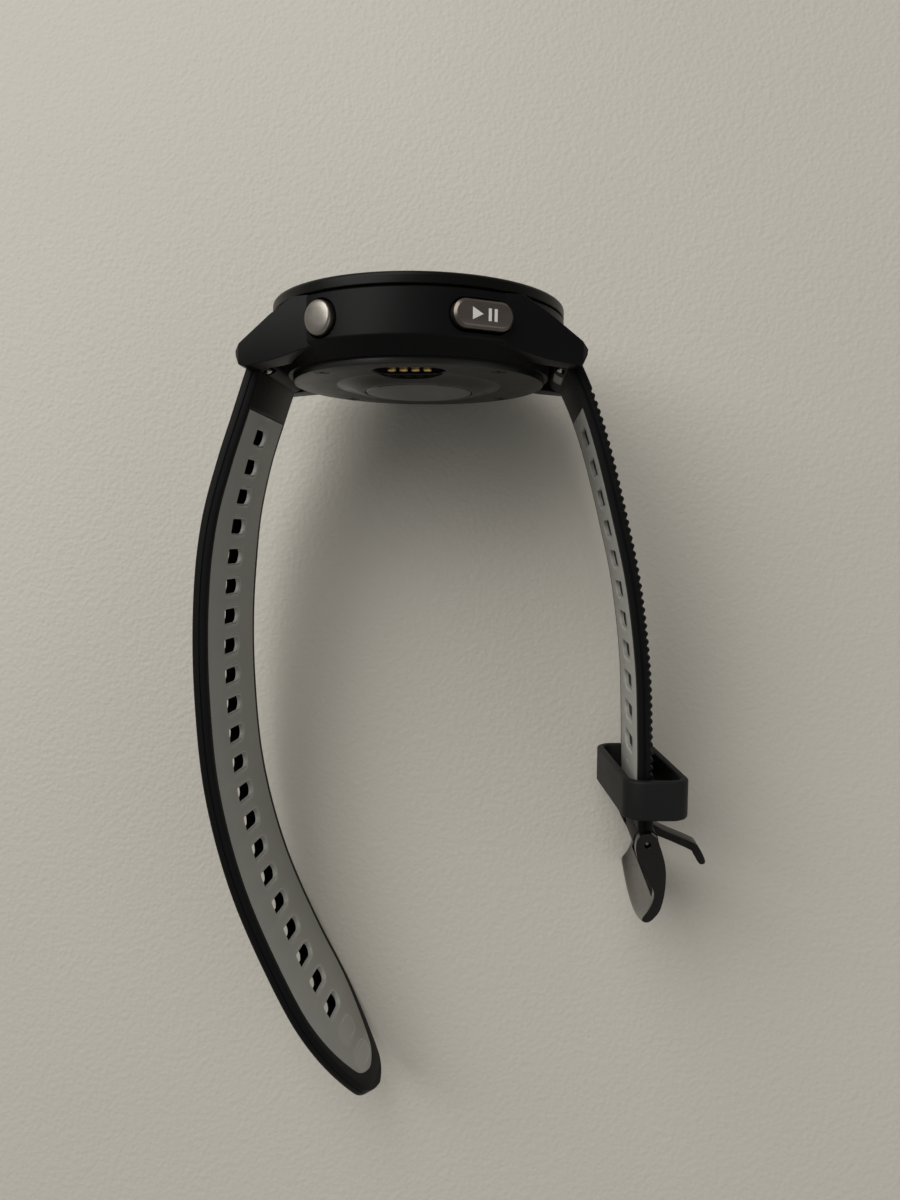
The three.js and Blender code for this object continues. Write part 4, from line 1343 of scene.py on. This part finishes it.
# Side outlines of the buckle's frame and of the tongue, from the buckle's pin.
LEAF = [
    (-1.75, 0), (-1.3, -1.2), (0, -1.75), (1.3, -1.2), (1.8, 0), (2.5, 2.2), (2.8, 4.2), (2.75, 6.5),
    (2.45, 8.8), (1.95, 10.9), (1.1, 12.3), (0.2, 12.9), (-0.6, 12.5), (0.25, 10.8), (0.95, 8.8),
    (1.05, 7.1), (0.1, 5.2), (-0.95, 3.3), (-1.6, 1.6),
]
BLADE = [
    (0.2, -1.0), (4.1, 1.15), (8.9, 3.1), (10.0, 4.0), (11.0, 6.2),
    (10.1, 6.6), (9.0, 4.9), (8.3, 4.2), (3.7, 2.3), (-0.2, 1.0),
]


def buckle_outline(points, steps):
    line = smooth_line(points, steps, True)
    return [(BUCKLE[0] - u, BUCKLE[1] + v) for u, v in line]


def build_buckle(strap, colours):
    """The buckle's bowed frame and its pin, and the tongue on the same pin."""
    inner = strap.width / 2 + 0.2
    outer = inner + 1.7
    x, y = BUCKLE
    rings = []
    for i in range(25):
        z = outer * (i / 12 - 1)
        bow = 2.4 * (1 - (z / outer) ** 2) - 1.0
        line = [(px, py, min(max((py - y - 8.0) / 4.0, 0), 1)) for px, py in buckle_outline(LEAF, 5)]
        rings.append([(px, py + bow * share, z) for px, py, share in line])
    body = as_object("buckle_frame_loop", stack(rings))
    window = [(x - 6, y - 4), (x + 6, y - 4), (x + 6, y + 8.6), (x - 6, y + 8.6)]
    combine(body, [
        as_object("buckle_window", prism(window, -inner, inner)),
        as_object("bar_hole", rod(0.84, x, y, -outer + 0.6, outer - 0.6, 32)),
        as_object("bar_peephole", rod(0.5, x, y, -outer - 1, outer + 1, 32)),
    ])
    soften(body, 0.42, 5, 40.0)
    settle(body)
    metal = brushed("gunmetal_buckle", colours.buckle, 0.26, (1.2, 1.2, 7), 0.15, Coat_Weight=0.3)
    finish_piece(body, "buckle", ["buckle_frame"], metal, 40.0)
    bar = as_object("buckle_pin", rod(0.72, x, y, -outer + 0.8, outer - 0.8, 32, 0.5))
    chrome = brushed("polished_pin", (0.3, 0.29, 0.28), 0.2, (3, 3, 3), 0.2)
    finish_piece(bar, "buckle", ["buckle_bar"], chrome)
    half = 1.75
    blade = as_object("tongue_blade", prism(buckle_outline(BLADE, 4), -half, half))
    combine(blade, [as_object("tongue_ring", rod(1.5, x, y, -half, half, 32))], "UNION")
    combine(blade, [as_object("tongue_bore", rod(0.82, x, y, -half - 1, half + 1, 32))])
    soften(blade, 0.2, 3, 40.0)
    settle(blade)
    metal = brushed("gunmetal_tongue", darker(colours.buckle, 0.95), 0.3, (1.2, 1.2, 7), 0.5)
    finish_piece(blade, "tongue", ["tongue"], metal, 40.0)


def board_finish():
    """Green solder mask with paler tracks."""
    finish = Finish("solder_mask", (0.02, 0.09, 0.04), 0.35)
    place = finish.place()
    tracks = finish.add("ShaderNodeTexBrick", {}, {"Vector": place, "Scale": 0.6}, "Fac")
    cloud = finish.noise(place, 0.8)
    finish.shade("Base Color", finish.mix(tracks * 0.6, (0.015, 0.07, 0.03), (0.05, 0.2, 0.09)))
    finish.shade("Roughness", 0.3 + cloud * 0.15)
    finish.shade("Normal", finish.bump(tracks, 0.4, 0.03 * MM))
    return finish


INNER_LOOKS = {
    "display_black": (moulded, "display_stack", (0.01, 0.011, 0.014), 0.2, 4.0),
    "seal_rubber": (moulded, "seal_rubber", (0.03, 0.03, 0.03), 0.65, 8.0, 0.02),
    "circuit_board": (board_finish,),
    "battery_foil": (brushed, "battery_foil", (0.6, 0.61, 0.62), 0.35, (2, 2, 2)),
    "coin_steel": (brushed, "motor_steel", (0.6, 0.6, 0.6), 0.3, (5, 1, 1)),
    "buzzer_brass": (brushed, "buzzer_brass", (0.75, 0.58, 0.28), 0.3, (5, 1, 1)),
    "antenna_polymer": (moulded, "antenna_polymer", (0.22, 0.16, 0.07), 0.45, 5.0),
    "switch_plastic": (moulded, "switch_plastic", (0.03, 0.03, 0.031), 0.45, 9.0),
}


def dress_inside():
    """Finishes for the CAD pieces that stay, most of them inside the case."""
    slots = {row["node"]: row["material_slot"] for row in frame["record"]["subparts"]}
    made = {}
    for node, obj in frame["nodes"].items():
        slot = slots[node]
        if slot not in INNER_LOOKS:
            continue
        if slot not in made:
            make, *values = INNER_LOOKS[slot]
            made[slot] = make(*values).material
        for place in obj.material_slots:
            place.material = made[slot]


# ---- the stage ----
CAMERA_PLACE = (-0.009996, -0.010127, 0.166201)
CAMERA_TURN = (2.993, 4.336, -178.941)


def desk_finish():
    """Pale warm grey desk with a fine leather-like grain."""
    finish = Finish("pale_desk", (0.5, 0.475, 0.42), 0.55)
    raw = finish.add("ShaderNodeTexCoord", {}, {}, "Object")
    grain = finish.noise(raw, 900.0, 2.0)
    pores = finish.grains(raw, 1200.0)
    cloud = finish.noise(raw, 8.0, 3.0)
    finish.shade("Base Color", finish.mix(cloud, (0.47, 0.445, 0.395), (0.53, 0.505, 0.45)))
    finish.shade("Roughness", 0.5 + grain * 0.1)
    finish.shade("Normal", finish.bump(grain * 0.6 + pores * 0.4, 0.5, 0.0003))
    return finish


def area_light(name, place, target, size, power, tint):
    lamp = bpy.data.lights.new(name, "AREA")
    lamp.shape = "RECTANGLE"
    lamp.size, lamp.size_y = size
    lamp.energy = power
    lamp.color = tint
    obj = bpy.data.objects.new(name, lamp)
    obj.location = place
    obj.rotation_euler = (Vector(target) - Vector(place)).to_track_quat("-Z", "Y").to_euler()
    bpy.context.scene.collection.objects.link(obj)


def build_stage():
    """The desk, a window's soft light, the room's light and the camera."""
    bm = bmesh.new()
    bmesh.ops.create_grid(bm, x_segments=8, y_segments=8, size=1.5)
    floor = as_object("desk_floor", bm)
    floor.data.materials.append(desk_finish().material)
    area_light("window", (0.6, -0.7, 1.0), (0, 0, 0), (1.5, 1.2), 19.0, (1.0, 0.985, 0.95))
    area_light("room", (-0.9, 0.6, 0.6), (0, 0, 0), (1.0, 0.8), 1.5, (1.0, 0.98, 0.94))
    world = bpy.data.worlds.new("soft_room")
    world.use_nodes = True
    world.node_tree.nodes["Background"].inputs["Color"].default_value = (0.86, 0.85, 0.82, 1.0)
    world.node_tree.nodes["Background"].inputs["Strength"].default_value = 0.3
    bpy.context.scene.world = world
    camera = bpy.data.cameras.new("view")
    camera.lens = 27.0
    camera.sensor_width = 36.0
    camera.sensor_fit = "AUTO"
    camera.clip_start = 0.005
    camera.clip_end = 20.0
    eye = bpy.data.objects.new("view", camera)
    eye.location = CAMERA_PLACE
    eye.rotation_euler = [math.radians(angle) for angle in CAMERA_TURN]
    bpy.context.scene.collection.objects.link(eye)
    bpy.context.scene.camera = eye
    bpy.context.scene.view_settings.view_transform = "Standard"


# ---- operators, one for each piece or group ----
class WATCH_OT_stage(bpy.types.Operator):
    """Adds the desk, the soft lights and the camera"""

    bl_idname = "watch.stage"
    bl_label = "Stage"

    def execute(self, context):
        build_stage()
        return {"FINISHED"}


class WATCH_OT_case(bpy.types.Operator):
    """Adds the mid case with its four lugs"""

    bl_idname = "watch.case"
    bl_label = "Case"

    def execute(self, context):
        case, _, colours = sizes()
        build_case(case, colours)
        return {"FINISHED"}


class WATCH_OT_front(bpy.types.Operator):
    """Adds the bezel and the display glass"""

    bl_idname = "watch.front"
    bl_label = "Bezel and glass"

    def execute(self, context):
        case, _, colours = sizes()
        build_bezel(case, colours)
        build_lens()
        return {"FINISHED"}


class WATCH_OT_back(bpy.types.Operator):
    """Adds the back cover, its screws and the sensor window"""

    bl_idname = "watch.back"
    bl_label = "Back cover"

    def execute(self, context):
        case, _, colours = sizes()
        build_back_cover(case, colours)
        build_window(case)
        return {"FINISHED"}


class WATCH_OT_contacts(bpy.types.Operator):
    """Adds the charging block and its four pins"""

    bl_idname = "watch.contacts"
    bl_label = "Charging contacts"

    def execute(self, context):
        build_contacts(sizes()[2])
        return {"FINISHED"}


class WATCH_OT_buttons(bpy.types.Operator):
    """Adds the four round buttons and the long one"""

    bl_idname = "watch.buttons"
    bl_label = "Buttons"

    def execute(self, context):
        case, _, colours = sizes()
        pewter = brushed("pewter_button", colours.button, 0.3, (1, 1, 1), 0.0)
        for name in ("back", "light", "up", "down"):
            build_round_button(name, case, pewter)
        build_long_button(case, colours)
        return {"FINISHED"}


class WATCH_OT_straps(bpy.types.Operator):
    """Adds both strap halves with their linings"""

    bl_idname = "watch.straps"
    bl_label = "Straps"

    def execute(self, context):
        _, strap, colours = sizes()
        finishes = {
            "strap": strap_finish(colours.strap, colours.lining, strap),
            "lining": lining_finish(colours.lining, strap),
        }
        for side in ("long", "short"):
            build_strap(side, strap, colours, finishes)
        return {"FINISHED"}


class WATCH_OT_bars(bpy.types.Operator):
    """Adds the quick-release spring bars"""

    bl_idname = "watch.bars"
    bl_label = "Spring bars"

    def execute(self, context):
        build_bars()
        return {"FINISHED"}


class WATCH_OT_keeper(bpy.types.Operator):
    """Adds the keeper loop"""

    bl_idname = "watch.keeper"
    bl_label = "Keeper"

    def execute(self, context):
        build_keeper(sizes()[1])
        return {"FINISHED"}


class WATCH_OT_buckle(bpy.types.Operator):
    """Adds the buckle, its pin and the tongue"""

    bl_idname = "watch.buckle"
    bl_label = "Buckle"

    def execute(self, context):
        _, strap, colours = sizes()
        build_buckle(strap, colours)
        return {"FINISHED"}


class WATCH_OT_inside(bpy.types.Operator):
    """Gives the pieces inside the case their finishes"""

    bl_idname = "watch.inside"
    bl_label = "Inner parts"

    def execute(self, context):
        dress_inside()
        return {"FINISHED"}


OPERATORS = (
    WATCH_OT_stage, WATCH_OT_case, WATCH_OT_front, WATCH_OT_back, WATCH_OT_contacts, WATCH_OT_buttons,
    WATCH_OT_straps, WATCH_OT_bars, WATCH_OT_keeper, WATCH_OT_buckle, WATCH_OT_inside,
)


class WATCH_PT_panel(bpy.types.Panel):
    """Lists the watch's pieces, sizes and colours"""

    bl_label = "Running watch"
    bl_idname = "WATCH_PT_panel"
    bl_space_type = "VIEW_3D"
    bl_region_type = "UI"
    bl_category = "Watch"

    def draw(self, context):
        for operator in OPERATORS:
            self.layout.operator(operator.bl_idname)
        for group in (context.scene.watch_case, context.scene.watch_strap, context.scene.watch_colours):
            for key in group.bl_rna.properties.keys():
                if key not in ("rna_type", "name"):
                    self.layout.prop(group, key)


GROUPS = {"watch_case": WatchCase, "watch_strap": WatchStrap, "watch_colours": WatchColours}
CLASSES = (*GROUPS.values(), *OPERATORS, WATCH_PT_panel)


def register():
    for cls in CLASSES:
        bpy.utils.register_class(cls)
    for name, group in GROUPS.items():
        setattr(bpy.types.Scene, name, PointerProperty(type=group))


def unregister():
    for name in GROUPS:
        delattr(bpy.types.Scene, name)
    for cls in reversed(CLASSES):
        bpy.utils.unregister_class(cls)


def main():
    register()
    for operator in OPERATORS:
        family, name = operator.bl_idname.split(".")
        getattr(getattr(bpy.ops, family), name)()
    bpy.context.view_layer.update()


if __name__ == "__main__":
    main()
